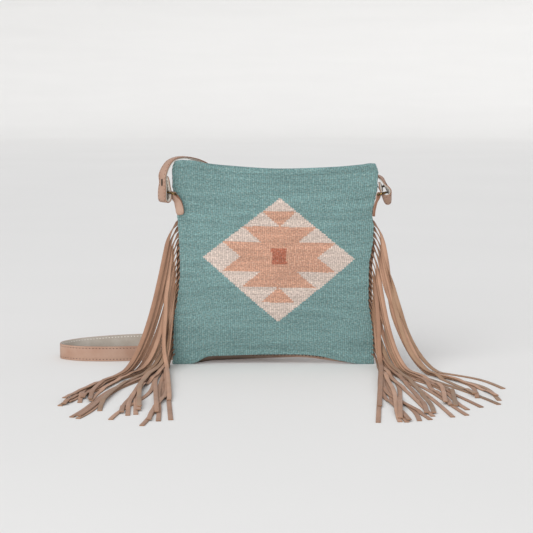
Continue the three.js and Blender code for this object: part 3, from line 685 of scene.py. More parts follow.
def smooth_route(rows, spacing):
    """A smooth path through rows of a place and a width direction, stepped evenly."""
    rows = np.asarray(rows, float)
    knots = running(rows[:, :3])
    at = np.linspace(0, knots[-1], max(2, round(knots[-1] / spacing) + 1))
    columns = [follow(knots, column, at, level=False) for column in rows.T]
    return np.stack(columns[:3], -1), np.stack(columns[3:6], -1)


def join_pieces(parts):
    """Several sets of points and faces as one."""
    points, faces, first = [], [], 0
    for part_points, part_faces in parts:
        points.append(part_points)
        faces += [[first + k for k in face] for face in part_faces]
        first += len(part_points)
    return np.concatenate(points), faces


print("steps in a route of 10 mm:", len(smooth_route([(0, 0, 0, 1, 0, 0), (10, 0, 0, 1, 0, 0)], 2)[0]))

# %% [markdown]
# ## Where the rings hang
# A tab at each side holds a D-ring by its straight bar, and the strap wraps the ring's bow. Each ring is
# turned forward and tipped up, because the strap pulls on it. The right one also leans over by a few degrees.

# %% Ring places
RING_DEPTH = 10
RING_HALF_WIDTH = 13.7
RING_ROUNDNESS = 3.6
RING_WIRE = 2.6
RING_PLACES = {
    # middle of the bar, then the turn forward, the lean and the tip upward in degrees
    "left": ((-127.1, -4.2, 213.5), 33, 0, 18),
    "right": ((129.4, -0.6, 212.3), 9, 4, 18),
}
SIDE_SIGN = {"left": -1, "right": 1}
UP = np.array([0, 0, 1])


def leaning(sign, turn, lean):
    """Outward, width and upward directions of a ring end, turned forward and leaned over, in degrees."""
    turn, lean = math.radians(turn), math.radians(lean)
    out = np.array([sign * math.cos(turn), -math.sin(turn), 0])
    level = np.array([-sign * math.sin(turn), -math.cos(turn), 0])
    return out, level * math.cos(lean) + UP * math.sin(lean), UP * math.cos(lean) - level * math.sin(lean)


ends = {}
for name, (bar, turn, lean, rise) in RING_PLACES.items():
    out, across, upward = leaning(SIDE_SIGN[name], turn, lean)
    outward = out * math.cos(math.radians(rise)) + upward * math.sin(math.radians(rise))
    bow = np.array(bar) + RING_DEPTH * outward
    ends[name] = {"out": out, "across": across, "outward": outward, "bar": np.array(bar), "bow": bow}
print("left ring's bow:", np.round(ends["left"]["bow"], 1))

# %% [markdown]
# ## The strap
# The strap is a band of hide with a suede lining sewn to its inner face. Each end wraps a ring and closes on
# itself with a stud. Between the rings it goes over the left corner, down behind the bag, on edge along the
# floor to a wide turn at the left, back behind the bag and up to the right ring.

# %% Strap route
STRAP_ROWS = [
    # x, y, z, and the width direction
    (-136.9, -9.7, 236.5, 0.53, -0.85, 0.02), (-133.8, -5, 246, 0.5, -0.86, 0.06),
    (-127.6, 1.6, 254.2, 0.48, -0.87, 0.08), (-117, 8.8, 257.9, 0.46, -0.89, 0.03),
    (-101, 17, 256, 0.46, -0.89, 0), (-85, 26, 248.4, 0.5, -0.86, -0.03),
    (-70, 35, 233.6, 0.56, -0.82, -0.06), (-52, 45, 207, 0.64, -0.76, -0.06),
    (-36, 56, 170, 0.78, -0.62, -0.06), (-27, 70, 126, 0.92, -0.34, -0.14),
    (-30, 86, 82, 0.88, -0.1, -0.46), (-50, 101, 42, 0.66, 0, -0.75),
    (-86, 111, 17, 0.3, 0, -0.95), (-130, 114, 10, 0.04, 0, -1), (-182, 109, 9.5, 0, 0, -1),
    (-228, 92, 9.5, 0, 0, -1), (-259, 71, 9.5, 0, 0, -1), (-272, 52, 9.5, 0, 0, -1),
    (-272, 37, 9.5, 0, 0, -1), (-257, 24, 9.5, 0, 0, -1), (-222, 16.5, 9.5, 0, 0, -1),
    (-176, 20, 9.5, 0, 0, -1), (-120, 28, 9.5, 0, 0, -1), (-60, 34, 10, 0.05, 0, -1),
    (-8, 37, 14, 0.22, 0, -0.97), (38, 38, 31, 0.5, -0.06, -0.86), (72, 38, 65, 0.78, -0.2, -0.6),
    (92, 36, 110, 0.8, -0.52, -0.3), (102, 33, 155, 0.5, -0.86, -0.12), (107, 30, 192, 0, -1, 0),
    (111, 27.5, 212, -0.1, -0.99, 0), (116.5, 24, 226.5, -0.2, -0.98, -0.06),
    (123.5, 20, 233.8, -0.3, -0.95, -0.06),
]
# How the left end wraps its ring: how far outward from the bow, and the height, tail tip first
LEFT_LOOP = [
    (-1, 236.5), (-1, 233), (-1.8, 228.5), (-2.9, 222.5), (-4.1, 217), (-4.5, 212.5), (-4.2, 209),
    (-3.2, 206.3), (-1.5, 204.9), (0.2, 204.6), (1.7, 205.4), (2.7, 207.6), (3, 211), (3, 215), (2.7, 220),
    (2.2, 227.5),
]
# How the right end wraps its ring, from behind the bag to the tail tip: x, y, z, turn and lean in degrees
RIGHT_LOOP = [
    (130.6, 15, 233.4, 20, 4), (134.9, 9.8, 228.9, 17, 10), (137.5, 5.6, 223.6, 10, 17),
    (140.9, 2.8, 219, 5, 24), (143.4, 0.4, 214.8, 3, 31), (144, -2.2, 211.4, 4, 36),
    (143.5, -4.3, 208.9, 7, 39), (141.9, -5.8, 207.3, 9, 41), (139.8, -6.4, 206.7, 10, 41),
    (137.8, -6, 206.9, 11, 39), (136.1, -4.7, 208.2, 12, 36), (134.4, -2.2, 211, 13, 31),
    (133, 1.6, 215.2, 14, 22), (132.4, 3.6, 220.4, 14, 18), (132.1, 7, 224.8, 14, 10),
]
STRAP_SPACING = 1.25
STRAP_WIDTH = 19

left = ends["left"]
left_rows = []
for distance, height in LEFT_LOOP:
    place = left["bow"] + distance * left["out"]
    left_rows.append((place[0], place[1], height, *left["across"]))
right_rows = [(x, y, z, *leaning(1, turn, lean)[1]) for x, y, z, turn, lean in RIGHT_LOOP]
strap_rows = left_rows + STRAP_ROWS + right_rows
strap_centres, strap_across = smooth_route(strap_rows, STRAP_SPACING)
# Where the band stands on edge, its middle line lies no lower than half its width
strap_centres[:, 2] = np.maximum(strap_centres[:, 2], STRAP_WIDTH / 2)
strap_across, strap_travel, strap_out = band_frame(strap_centres, strap_across)
strap_run = running(strap_centres)
print("strap length:", round(float(strap_run[-1])), "mm")

# %% Strap leather
STRAP_HALF_THICKNESS = 1.2
STITCH_INSET = 2.6
GROOVE_DEPTH, GROOVE_HALF_WIDTH = 0.22, 0.7
CROWN_HALF_WIDTH, CROWN_RISE = 3, 0.05
# The rounded edge from the lining up: mm in from the cut, and mm high
EDGE_PROFILE = [(0.35, 0), (0, 0.3), (0, 0.85), (0.4, 1.14)]
# How dark the edge is rubbed: mm in from the cut, and its share
EDGE_RUBBING = np.array([(0.05, 0.8), (0.38, 0.15)])
# The tips are cut round, and the band draws in where a stud's slit is pulled
TIP_LENGTH, TIP_SHARE = 6, 0.4
WAIST_LENGTH, WAIST_DEPTH = 6, 0.2
STUD_PLACES = [(-136.3, -11.4, 228.4), (137.4, 4.9, 223.4)]

half = STRAP_WIDTH / 2
groove = half - STITCH_INSET
top = STRAP_HALF_THICKNESS
right_profile = [(half - inset, height) for inset, height in EDGE_PROFILE] + [
    (groove + GROOVE_HALF_WIDTH, top), (groove, top - GROOVE_DEPTH), (groove - GROOVE_HALF_WIDTH, top),
    (CROWN_HALF_WIDTH, top + CROWN_RISE),
]
strap_section = np.array([*right_profile, *[(-a, o) for a, o in reversed(right_profile)]])
to_tip = np.clip(np.minimum(strap_run, strap_run[-1] - strap_run) / TIP_LENGTH, 0, 1)
strap_share = TIP_SHARE + (1 - TIP_SHARE) * np.sqrt(1 - (1 - to_tip) ** 2)
for place in STUD_PLACES:
    middle = strap_run[np.argmin(np.linalg.norm(strap_centres - place, axis=1))]
    strap_share *= 1 - WAIST_DEPTH * np.exp(-(((strap_run - middle) / WAIST_LENGTH) ** 2))
narrowed = np.stack([strap_share, np.ones_like(strap_share)], -1)[:, None]
strap_points, strap_faces = sweep(strap_centres, strap_across, strap_out, strap_section[None] * narrowed)
strap = add_piece("strap_leather", strap_points, strap_faces, HIDE, "strap", "hide")
strap_edge = np.interp(half - np.abs(strap_section[:, 0]), *EDGE_RUBBING.T)
mark(strap, "edge", np.tile(strap_edge, len(strap_centres)))
print("strap faces:", len(strap_faces))

# %% [markdown]
# ## The suede lining
# The lining is split hide with its nap up: pale, dull and soft. A fine noise in its bump gives the nap, and a
# little sheen gives the soft light at its rim.

# %% Suede lining
NAP_WIDTH = 0.5
LINING_WIDTH = 18.6
LINING_FACES = (-1.2, -0.2)
LINING_BEVEL = 0.3


def suede(name, pale, deep):
    """Split hide with a brushed nap: no gloss, soft light at grazing angles."""
    material, tree = start_material(name)
    place = add_node(tree, "TexCoord").outputs["Object"]
    nap = add_node(tree, "TexNoise", {"Vector": place, "Scale": 1 / (NAP_WIDTH * MM), "Detail": 5.0})
    cloud = add_node(tree, "TexNoise", {"Vector": place, "Scale": 1 / (CLOUD_WIDTH * MM), "Detail": 3.0})
    both = add_node(tree, "Math", {0: nap.outputs[0], 1: cloud.outputs[0]}, operation="MULTIPLY")
    spread = add_node(tree, "MapRange", {0: both.outputs[0], 1: 0.15, 2: 0.4})
    colour = add_node(tree, "Mix", {0: spread.outputs[0], 6: srgb(deep), 7: srgb(pale)}, data_type="RGBA")
    bump = add_node(tree, "Bump", {"Height": nap.outputs[0], "Strength": 0.35, "Distance": 0.2 * MM})
    close_material(tree, {
        "Base Color": colour.outputs[2], "Normal": bump.outputs[0], "Roughness": 0.95,
        "Specular IOR Level": 0.15, "Sheen Weight": 0.3, "Sheen Roughness": 0.5,
    })
    return material


SUEDE = suede("cream_suede", "#bab3aa", "#a59b8f")
low, high = LINING_FACES
lining_half = LINING_WIDTH / 2
lining_section = np.array([
    (-lining_half + LINING_BEVEL, low), (lining_half - LINING_BEVEL, low), (lining_half, low + LINING_BEVEL),
    (lining_half, high), (-lining_half, high), (-lining_half, low + LINING_BEVEL),
])
lining_points, lining_faces = sweep(strap_centres, strap_across, strap_out, lining_section[None] * narrowed)
add_piece("strap_lining_suede", lining_points, lining_faces, SUEDE, "strap_lining", "lining")
print("lining faces:", len(lining_faces))

# %% [markdown]
# ## Stitches
# A stitch is a short bead of waxed thread that sinks into the leather at both ends. One small bead is shaped
# once and copied along a line by array arithmetic, so a row of hundreds is a single mesh.

# %% Stitch helpers
BEAD_SIDES = 6
BEAD_RINGS = 4


def bead():
    """A closed bead of radius 1 with a few sides: points and faces."""
    points = [(0, 0, -1)]
    for r in range(1, BEAD_RINGS):
        polar = math.pi * r / BEAD_RINGS
        girth = math.sin(polar)
        for k in range(BEAD_SIDES):
            turn = 2 * math.pi * k / BEAD_SIDES
            points.append((girth * math.cos(turn), girth * math.sin(turn), -math.cos(polar)))
    points.append((0, 0, 1))
    faces = [(0, 1 + (k + 1) % BEAD_SIDES, 1 + k) for k in range(BEAD_SIDES)]
    for r in range(BEAD_RINGS - 2):
        for k in range(BEAD_SIDES):
            a, b = 1 + r * BEAD_SIDES + k, 1 + r * BEAD_SIDES + (k + 1) % BEAD_SIDES
            faces.append((a, b, b + BEAD_SIDES, a + BEAD_SIDES))
    top_ring = 1 + (BEAD_RINGS - 2) * BEAD_SIDES
    tip = len(points) - 1
    faces += [(tip, top_ring + k, top_ring + (k + 1) % BEAD_SIDES) for k in range(BEAD_SIDES)]
    return np.array(points), faces


def stitch_row(centres, across, travel, out, size):
    """Beads at the given places. size is the half width, half height and half length of a stitch."""
    shape, shape_faces = bead()
    wide, tall, long = size
    points = (
        centres[:, None] + shape[None, :, :1] * wide * across[:, None]
        + shape[None, :, 1:2] * tall * out[:, None] + shape[None, :, 2:] * long * travel[:, None]
    )
    faces = [[k * len(shape) + c for c in face] for k in range(len(centres)) for face in shape_faces]
    return points.reshape(-1, 3), faces


def spaced(pitch, margin, centres, *directions):
    """Places a pitch apart along a path, each with the path's directions there."""
    run = running(centres)
    marks = np.arange(margin, run[-1] - margin, pitch)
    tables = (centres, *directions)
    return [np.stack([np.interp(marks, run, column) for column in table.T], -1) for table in tables]


print("points in one stitch:", len(bead()[0]))

# %% Thread material
THREAD_TWIST = 0.6
# The plies are drawn several times as coarse as they are, so that they show
PLY_STRETCH = 6


def waxed_thread(name, colour):
    """Twisted linen thread with wax: slanting plies and a dull gloss."""
    material, tree = start_material(name)
    place = add_node(tree, "TexCoord").outputs["Object"]
    plies = add_node(tree, "TexWave", {
        "Vector": place, "Scale": 1 / (THREAD_TWIST * MM) / PLY_STRETCH, "Distortion": 1.0, "Detail": 1.0,
    }, bands_direction="DIAGONAL")
    # The ply bands paint light and shade on the thread: lighter on the crowns of the plies, darker in the
    # grooves
    tone = add_node(tree, "MapRange", {0: plies.outputs[1], 3: 0.7, 4: 1.1})
    shade = add_node(tree, "VectorMath", {0: srgb(colour)[:3], "Scale": tone.outputs[0]}, operation="SCALE")
    bump = add_node(tree, "Bump", {"Height": plies.outputs[1], "Strength": 0.3, "Distance": 0.1 * MM})
    close_material(tree, {"Base Color": shade.outputs[0], "Normal": bump.outputs[0], "Roughness": 0.7})
    return material


BROWN_THREAD = waxed_thread("brown_waxed_thread", "#4c3426")
WHITE_THREAD = waxed_thread("white_waxed_thread", "#f6f2ea")
print("made", BROWN_THREAD.name, "and", WHITE_THREAD.name)

# %% Strap stitches
STITCH_PITCH = 4.3
STITCH_SIZE = (0.5, 0.34, 1.15)
STITCH_LIFT = 0.05
END_MARGIN = 4

strap_ways = (strap_across, strap_travel, strap_out)
seam_places, *seam_ways, seam_share = spaced(
    STITCH_PITCH, END_MARGIN, strap_centres, *strap_ways, strap_share[:, None],
)
for name, thread, slot, height in (
    ("strap_outer_stitches", BROWN_THREAD, "hide", top - GROOVE_DEPTH + STITCH_LIFT),
    ("strap_inner_stitches", WHITE_THREAD, "lining", LINING_FACES[0] - STITCH_LIFT),
):
    rows = []
    for sign in (-1, 1):
        places = seam_places + sign * groove * seam_share * seam_ways[0] + height * seam_ways[2]
        rows.append(stitch_row(places, *seam_ways, STITCH_SIZE))
    row_points, row_faces = join_pieces(rows)
    add_piece(name, row_points, row_faces, thread, slot=slot)
    print(name, "stitches:", 2 * len(seam_places))

# %% Bottom seam stitches
BOTTOM_PITCH = 4.4
BOTTOM_SIZE = (0.9, 0.6, 1.3)
BOTTOM_SPAN = (-26, 66)
BOTTOM_DROP = 1.1

bottom_x = np.arange(*BOTTOM_SPAN, BOTTOM_PITCH)
bottom_z = follow(*BOTTOM_EDGE.T, bottom_x) - BOTTOM_DROP
bottom_places = np.stack([bottom_x, np.zeros_like(bottom_x), bottom_z], -1)
bottom_ways = band_frame(bottom_places, np.tile(UP, (len(bottom_x), 1)))
bottom_row = stitch_row(bottom_places, *bottom_ways, BOTTOM_SIZE)
add_piece("bottom_seam_stitches", *bottom_row, BROWN_THREAD, slot="hide")
print("bottom seam stitches:", len(bottom_x))

# %% [markdown]
# ## Tabs
# Each tab is a strip of hide folded round the ring's bar and sewn to the side seam. The left one twists to
# face forward, and the right one is seen edge on.

# %% Tabs
TAB_WIDTH = 10
# The share of the full width along a tab, which ends round
TAB_TAPER = np.array([(0, 1), (0.86, 1), (0.94, 0.9), (0.98, 0.74), (1, 0.5)])
TAB_ROWS = {
    # x, y, z, the width direction, and the thickness
    "left": [
        (-124.1, -8.4, 216.6, 0.54, -0.84, 0, 3), (-124.4, -8.4, 213.5, 0.54, -0.84, 0, 5.2),
        (-121.4, -9.8, 209, 0.7, -0.7, 0.1, 4.4), (-118.8, -10, 205, 0.85, -0.5, 0.15, 3),
        (-117.2, -9.4, 199.5, 0.95, -0.2, 0.16, 3), (-116.2, -8.8, 193.5, 0.97, -0.1, 0.16, 3),
        (-115.5, -8.6, 188.2, 0.97, -0.1, 0.16, 3),
    ],
    "right": [
        (129.8, -0.4, 215.6, -0.16, -0.98, 0.07, 3), (129.4, -0.6, 212.3, -0.16, -0.98, 0.07, 5.2),
        (128.5, -0.6, 208, -0.12, -0.99, 0.04, 4.4), (126.6, -0.6, 203.4, -0.06, -1, 0, 3),
        (124.8, -0.6, 197.5, 0, -1, 0, 3), (123.7, -0.6, 191.5, 0, -1, 0, 3),
        (123.4, -0.6, 185.6, 0, -1, 0, 3),
    ],
}
TAB_SPACING = 0.6
# Half of a tab's section in shares of its half width and half thickness, from the inner to the outer face
TAB_PROFILE = np.array([(0.9, -1), (1, -0.7), (1, -0.12), (0.94, 0), (1, 0.12), (1, 0.7), (0.9, 1)])
TAB_EDGE_FROM, TAB_RUBBING = 0.93, 0.9

tab_section = np.concatenate([TAB_PROFILE, TAB_PROFILE[::-1] * (-1, 1)])
tab_edge = TAB_RUBBING * (np.abs(tab_section[:, 0]) > TAB_EDGE_FROM)
for name, rows in TAB_ROWS.items():
    tab_centres, tab_across = smooth_route([row[:6] for row in rows], TAB_SPACING)
    tab_across, _, tab_out = band_frame(tab_centres, tab_across)
    shares = np.linspace(0, 1, len(tab_centres))
    row_run = running(np.array(rows)[:, :3])
    thick = follow(row_run / row_run[-1], [row[6] for row in rows], shares)
    wide = TAB_WIDTH * np.interp(shares, *TAB_TAPER.T)
    sections = tab_section[None] * np.stack([wide / 2, thick / 2], -1)[:, None]
    tab_points, tab_faces = sweep(tab_centres, tab_across, tab_out, sections)
    tab = add_piece(f"tab_{name}_leather", tab_points, tab_faces, HIDE, f"tab_{name}", "hide")
    mark(tab, "edge", np.tile(tab_edge, len(tab_centres)))
    print(tab.name, "faces:", len(tab_faces))

# %% [markdown]
# ## Rings
# Antique brass is plated, blackened and then rubbed, so it is dark in the hollows and bright on the rubbed
# outside. The bend of the wire does most of the work: it needs enough sides to catch clean lines of light.

# %% Brass material
PATINA_WIDTH = 2.5


def antique_brass():
    """Blackened and rubbed brass: metal, warm, with dark cloudy patches."""
    material, tree = start_material("antique_brass")
    place = add_node(tree, "TexCoord").outputs["Object"]
    patches = add_node(tree, "TexNoise", {"Vector": place, "Scale": 1 / (PATINA_WIDTH * MM), "Detail": 5.0})
    spread = add_node(tree, "MapRange", {0: patches.outputs[0], 1: 0.48, 2: 0.6})
    colour = add_node(
        tree, "Mix", {0: spread.outputs[0], 6: srgb("#33271a"), 7: srgb("#9c7f50")}, data_type="RGBA",
    )
    rough = add_node(tree, "MapRange", {0: patches.outputs[0], 1: 0.35, 2: 0.65, 3: 0.42, 4: 0.24})
    close_material(tree, {
        "Base Color": colour.outputs[2], "Roughness": rough.outputs[0], "Metallic": 1.0,
    })
    return material


BRASS = antique_brass()
print("made", BRASS.name)

# %% Rings
RING_STEPS = 72
BAR_STEPS = 18
WIRE_SIDES = 14
ROUNDING_PASSES = 3

angle = np.linspace(0, np.pi, RING_STEPS)
bow_across = RING_HALF_WIDTH * np.sign(np.cos(angle)) * np.abs(np.cos(angle)) ** (2 / RING_ROUNDNESS)
bow_out = RING_DEPTH * np.abs(np.sin(angle)) ** (2 / RING_ROUNDNESS)
bar_across = np.linspace(-RING_HALF_WIDTH, RING_HALF_WIDTH, BAR_STEPS)[1:-1]
plan = np.concatenate([
    np.stack([bow_across, bow_out], -1), np.stack([bar_across, np.zeros_like(bar_across)], -1),
])
for _ in range(ROUNDING_PASSES):
    plan = (np.roll(plan, 1, 0) + 2 * plan + np.roll(plan, -1, 0)) / 4
wire_turn = np.linspace(0, 2 * np.pi, WIRE_SIDES, endpoint=False)
wire = RING_WIRE / 2 * np.stack([np.cos(wire_turn), np.sin(wire_turn)], -1)
for name, end in ends.items():
    ring_centres = end["bar"] + plan[:, :1] * end["across"] + plan[:, 1:] * end["outward"]
    flat = np.broadcast_to(np.cross(end["across"], end["outward"]), ring_centres.shape)
    ring_across, _, ring_out = band_frame(ring_centres, flat, closed=True)
    ring_points, ring_faces = sweep(ring_centres, ring_across, ring_out, wire, closed=True)
    add_piece(f"ring_{name}_brass", ring_points, ring_faces, BRASS, f"ring_{name}", "brass")
print("faces in a ring:", len(ring_faces))

# %% [markdown]
# ## Studs
# A toggle stud closes each strap end: a small bar passes through a slit and turns across it. The packed
# solids already have that shape, so they stay and only get their metal.

# %% Studs
def dark_metal():
    """Gun-metal plate: dark, smooth, slightly worn."""
    material, tree = start_material("dark_plated_steel")
    place = add_node(tree, "TexCoord").outputs["Object"]
    wear = add_node(tree, "TexNoise", {"Vector": place, "Scale": 1 / (PATINA_WIDTH * MM), "Detail": 4.0})
    colour = add_node(
        tree, "Mix", {0: wear.outputs[0], 6: srgb("#2b2622"), 7: srgb("#5d5348")}, data_type="RGBA",
    )
    close_material(tree, {"Base Color": colour.outputs[2], "Metallic": 1.0, "Roughness": 0.4})
    return material


STEEL = dark_metal()
for name in ends:
    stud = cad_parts[f"stud_{name}"]
    stud.data.materials.clear()
    stud.data.materials.append(STEEL)
print("studs finished in", STEEL.name)

# %% [markdown]
# ## Fringe leather
# The strips are cut from a softer, thinner hide. A strip shows its pinkish grain or its browner flesh side as
# it twists, and its cut edges are browner. Near the seam it is painted dark brown: painted shade in the
# recess beside the bag. Each mesh marks the side of a face, its edges, its painted seam shade and how its
# strip is toned.

# %% Fringe material
def fringe_hide():
    """Soft lamb or goat hide, cut in strips: matt grain, napped flesh, browner cut edges."""
    material, tree = start_material("soft_fringe_hide")
    place = add_node(tree, "TexCoord").outputs["Object"]
    tint = add_node(tree, "Attribute", attribute_name="tint").outputs["Fac"]
    flesh = add_node(tree, "Attribute", attribute_name="flesh").outputs["Fac"]
    grain = add_node(tree, "Mix", {0: tint, 6: srgb("#b28c74"), 7: srgb("#94705a")}, data_type="RGBA")
    nap = add_node(tree, "Mix", {0: tint, 6: srgb("#9a7b63"), 7: srgb("#80654f")}, data_type="RGBA")
    hide = add_node(tree, "Mix", {0: flesh, 6: grain.outputs[2], 7: nap.outputs[2]}, data_type="RGBA")
    # Browner cut edges are the hide's own colour; the "root" mark is painted shade, dark brown near the seam
    for name, dark in (("edge", "#8c6a51"), ("root", "#543b2c")):
        share = add_node(tree, "Attribute", attribute_name=name).outputs["Fac"]
        hide = add_node(tree, "Mix", {0: share, 6: hide.outputs[2], 7: srgb(dark)}, data_type="RGBA")
    cloud = add_node(tree, "TexNoise", {"Vector": place, "Scale": 1 / (CLOUD_WIDTH * MM), "Detail": 5.0})
    tone = add_node(tree, "MapRange", {0: cloud.outputs[0], 1: 0.3, 2: 0.7, 3: 0.86, 4: 1.1})
    colour = add_node(tree, "VectorMath", {0: hide.outputs[2], "Scale": tone.outputs[0]}, operation="SCALE")
    fine = add_node(tree, "TexNoise", {"Vector": place, "Scale": 1 / (NAP_WIDTH * MM), "Detail": 4.0})
    bump = add_node(tree, "Bump", {"Height": fine.outputs[0], "Strength": 0.3, "Distance": 0.15 * MM})
    close_material(tree, {
        "Base Color": colour.outputs[0], "Normal": bump.outputs[0], "Roughness": 0.72,
        "Specular IOR Level": 0.3, "Sheen Weight": 0.1, "Sheen Roughness": 0.5,
    })
    return material


FRINGE_HIDE = fringe_hide()
print("made", FRINGE_HIDE.name)

# %% [markdown]
# ## The fringe
# Each fringe is one piece of hide cut into strips, with its uncut header caught in the side seam. A strip
# leaves the seam on edge, hooks over, fans out as it falls and sweeps on along the floor. A simulation could
# drop the strips, but it would choose where they land. Here each strip is drawn by a rule instead: low strips
# run forward, high strips run outward, and each strays a little from its neighbours.

# %% Curves for the strips
def bezier(corners, count):
    """Points on a curve drawn by its control points."""
    t = np.linspace(0, 1, count)[:, None]
    points = [np.broadcast_to(np.asarray(c, float), (count, 3)) for c in corners]
    while len(points) > 1:
        points = [a + (b - a) * t for a, b in zip(points, points[1:])]
    return points[0]


def even_steps(points, count):
    """The same line with its points evenly apart."""
    run = running(points)
    at = np.linspace(0, run[-1], count)
    return np.stack([np.interp(at, run, points[:, k]) for k in range(3)], -1)


print("middle of an arch:", bezier([(0, 0, 0), (1, 0, 2), (2, 0, 0)], 3)[1])

# %% Strip sizes
STRIP_COUNT = 24
STRIP_WIDTH = 5.2
STRIP_THICKNESS = 1.2
STRIP_LENGTH = 345
FRINGE_TOP, FRINGE_BOTTOM = 182, 19
ROOT_DEPTH = 5
# The hook over the seam: how far out it goes, how much farther its crest is, its rise, its drop, the largest
# share of a root's height that it drops, its size on low strips, and how soon strips count as low
HOOK_OUT, HOOK_CREST, HOOK_RISE, HOOK_DROP = 9.0, 1.0, 2.5, 10.0
HOOK_DROP_SHARE, LOW_HOOK, LOW_FROM = 0.45, 0.55, 0.25
# The fall: its reach, where its shoulder is in shares of the reach and the height, and how it flares out
LEAST_REACH, REACH_PER_HEIGHT = 18, 0.56
SHOULDER_OUT, SHOULDER_STRAY, SHOULDER_DROP, FLARE = 0.23, 0.07, 0.5, 0.55
SHOULDER_CLEAR, LANDING_CLEAR = 5, 6
FARTHEST_IN = 95
STRIP_NODES = 90
CURVE_POINTS = 40
HALF_STRIP = STRIP_THICKNESS / 2
FORWARD = np.array([0, -1, 0])
FRINGES = {
    # outline column, heading of the top and the bottom strip in degrees from outward to forward, end bend
    "left": (1, 54, 92, 44),
    "right": (2, 48, 92, 38),
}
# Strips that hang straight in front of the others: their number from the top, heading and reach
STRAIGHT_STRIPS = {"left": {2: (93, 26), 12: (90, 20)}, "right": {7: (92, 22), 16: (86, 18)}}
HEADING_STRAY, REACH_STRAY, LENGTH_STRAY, CURL_STRAY, WAVE_STRAY = 10, 0.18, 12, 17, 13
SALT_WORDS = ("heading", "length", "curl", "wave", "tint", "flip", "reach", "lean")
SALTS = {word: number for number, word in enumerate(SALT_WORDS, 1)}
print("strips in each fringe:", STRIP_COUNT)

# %% Strip lines
def strip_line(name, index):
    """The middle line of one strip: root, hook, fall and the run along the floor."""
    column, top_heading, bottom_heading, top_bend = FRINGES[name]
    sign = SIDE_SIGN[name]
    outward = np.array([sign, 0, 0])

    def by_chance(word):
        return stray(index, sign * SALTS[word])

    share = index / (STRIP_COUNT - 1)
    root = FRINGE_TOP + (FRINGE_BOTTOM - FRINGE_TOP) * share
    heading = top_heading + (bottom_heading - top_heading) * share + HEADING_STRAY * by_chance("heading")
    reach = (LEAST_REACH + REACH_PER_HEIGHT * root) * (1 + REACH_STRAY * by_chance("reach"))
    heading, reach = STRAIGHT_STRIPS[name].get(index, (heading, reach))
    way = outward * math.cos(math.radians(heading)) + FORWARD * math.sin(math.radians(heading))
    edge = float(side_edge(column, root))
    widest = sign * max(sign * edge, sign * float(side_edge(column, 0)))
    gate = np.array([edge, 0, root])
    drop = min(HOOK_DROP, HOOK_DROP_SHARE * root)
    out = HOOK_OUT * (1 - (1 - LOW_HOOK) * min(1, share / LOW_FROM))
    crest = gate + outward * (out + HOOK_CREST) + UP * HOOK_RISE
    brink = gate + outward * out - UP * drop
    hook = bezier([gate, crest, brink], CURVE_POINTS // 2)
    over = reach * (SHOULDER_OUT + SHOULDER_STRAY * by_chance("lean"))
    shoulder = brink + way * over - UP * SHOULDER_DROP * brink[2]
    shoulder[0] = sign * max(sign * shoulder[0], sign * widest + SHOULDER_CLEAR)
    landing = brink + way * reach
    landing[0] = sign * max(sign * landing[0], sign * widest + LANDING_CLEAR)
    landing[2] = HALF_STRIP
    fall = bezier([brink, shoulder, landing - way * FLARE * reach, landing], CURVE_POINTS)
    drawn = np.concatenate([[gate - outward * ROOT_DEPTH], hook, fall[1:]])
    rest = STRIP_LENGTH + LENGTH_STRAY * by_chance("length") - running(drawn)[-1]
    run = np.linspace(0, 1, CURVE_POINTS)[1:]
    turn = (top_bend * (1 - share) + CURL_STRAY * by_chance("curl")) * run
    turn = turn + WAVE_STRAY * by_chance("wave") * np.sin(2 * np.pi * run)
    course = np.radians(np.minimum(heading + turn, FARTHEST_IN))[:, None]
    steps = outward * np.cos(course) + FORWARD * np.sin(course)
    lying = landing + np.cumsum(steps, axis=0) * rest / len(run)
    return even_steps(np.concatenate([drawn, lying]), STRIP_NODES)


strip_lines = {name: np.stack([strip_line(name, i) for i in range(STRIP_COUNT)]) for name in FRINGES}
print("strips drawn:", {name: lines.shape for name, lines in strip_lines.items()})

# %% [markdown]
# ## Letting the strips settle
# Drawn by rule alone, the strips would pass through each other. So they are let settle: wherever two of them
# overlap, they are pushed apart along the way that they face, the higher root always in front or on top, and
# nothing goes below the floor. After some rounds every strip lies on those under it, as cut leather does.

# %% Strip directions
FACE_TURN, FACE_STRAY = 84, 24
FACE_STEEPNESS = 1.5
ROOT_TWIST, HOOK_END, HOOK_TWIST = 10.0, 12.0, 26.0


def strip_frames(lines, sign):
    """Width and facing directions: on edge at the seam, out on the hook, forward in the fall, up at rest."""
    travel = unit(np.gradient(lines, axis=1))
    outward = np.array([sign, 0, 0])
    turn = FACE_TURN + FACE_STRAY * stray(np.arange(len(lines)), sign * SALTS["lean"])
    turn = np.radians(turn)[:, None, None]
    fall_face = outward * np.cos(turn) + FORWARD * np.sin(turn)
    steep = np.abs(travel[..., 2:]) ** FACE_STEEPNESS
    past_seam = np.linspace(0, STRIP_LENGTH, lines.shape[1])[None, :, None] - ROOT_DEPTH
    in_seam = np.clip(1 - past_seam / ROOT_TWIST, 0, 1)
    on_hook = np.clip(1 - (past_seam - HOOK_END) / HOOK_TWIST, 0, 1)
    want = fall_face * steep + UP * (1 - steep)
    want = want * (1 - on_hook) + (UP + outward) * on_hook
    want = want * (1 - in_seam) + FORWARD * in_seam
    facing = unit(want - (want * travel).sum(-1, keepdims=True) * travel)
    return np.cross(travel, facing), facing


print("end of the top left strip faces:", np.round(strip_frames(strip_lines["left"], -1)[1][0, -1], 2))

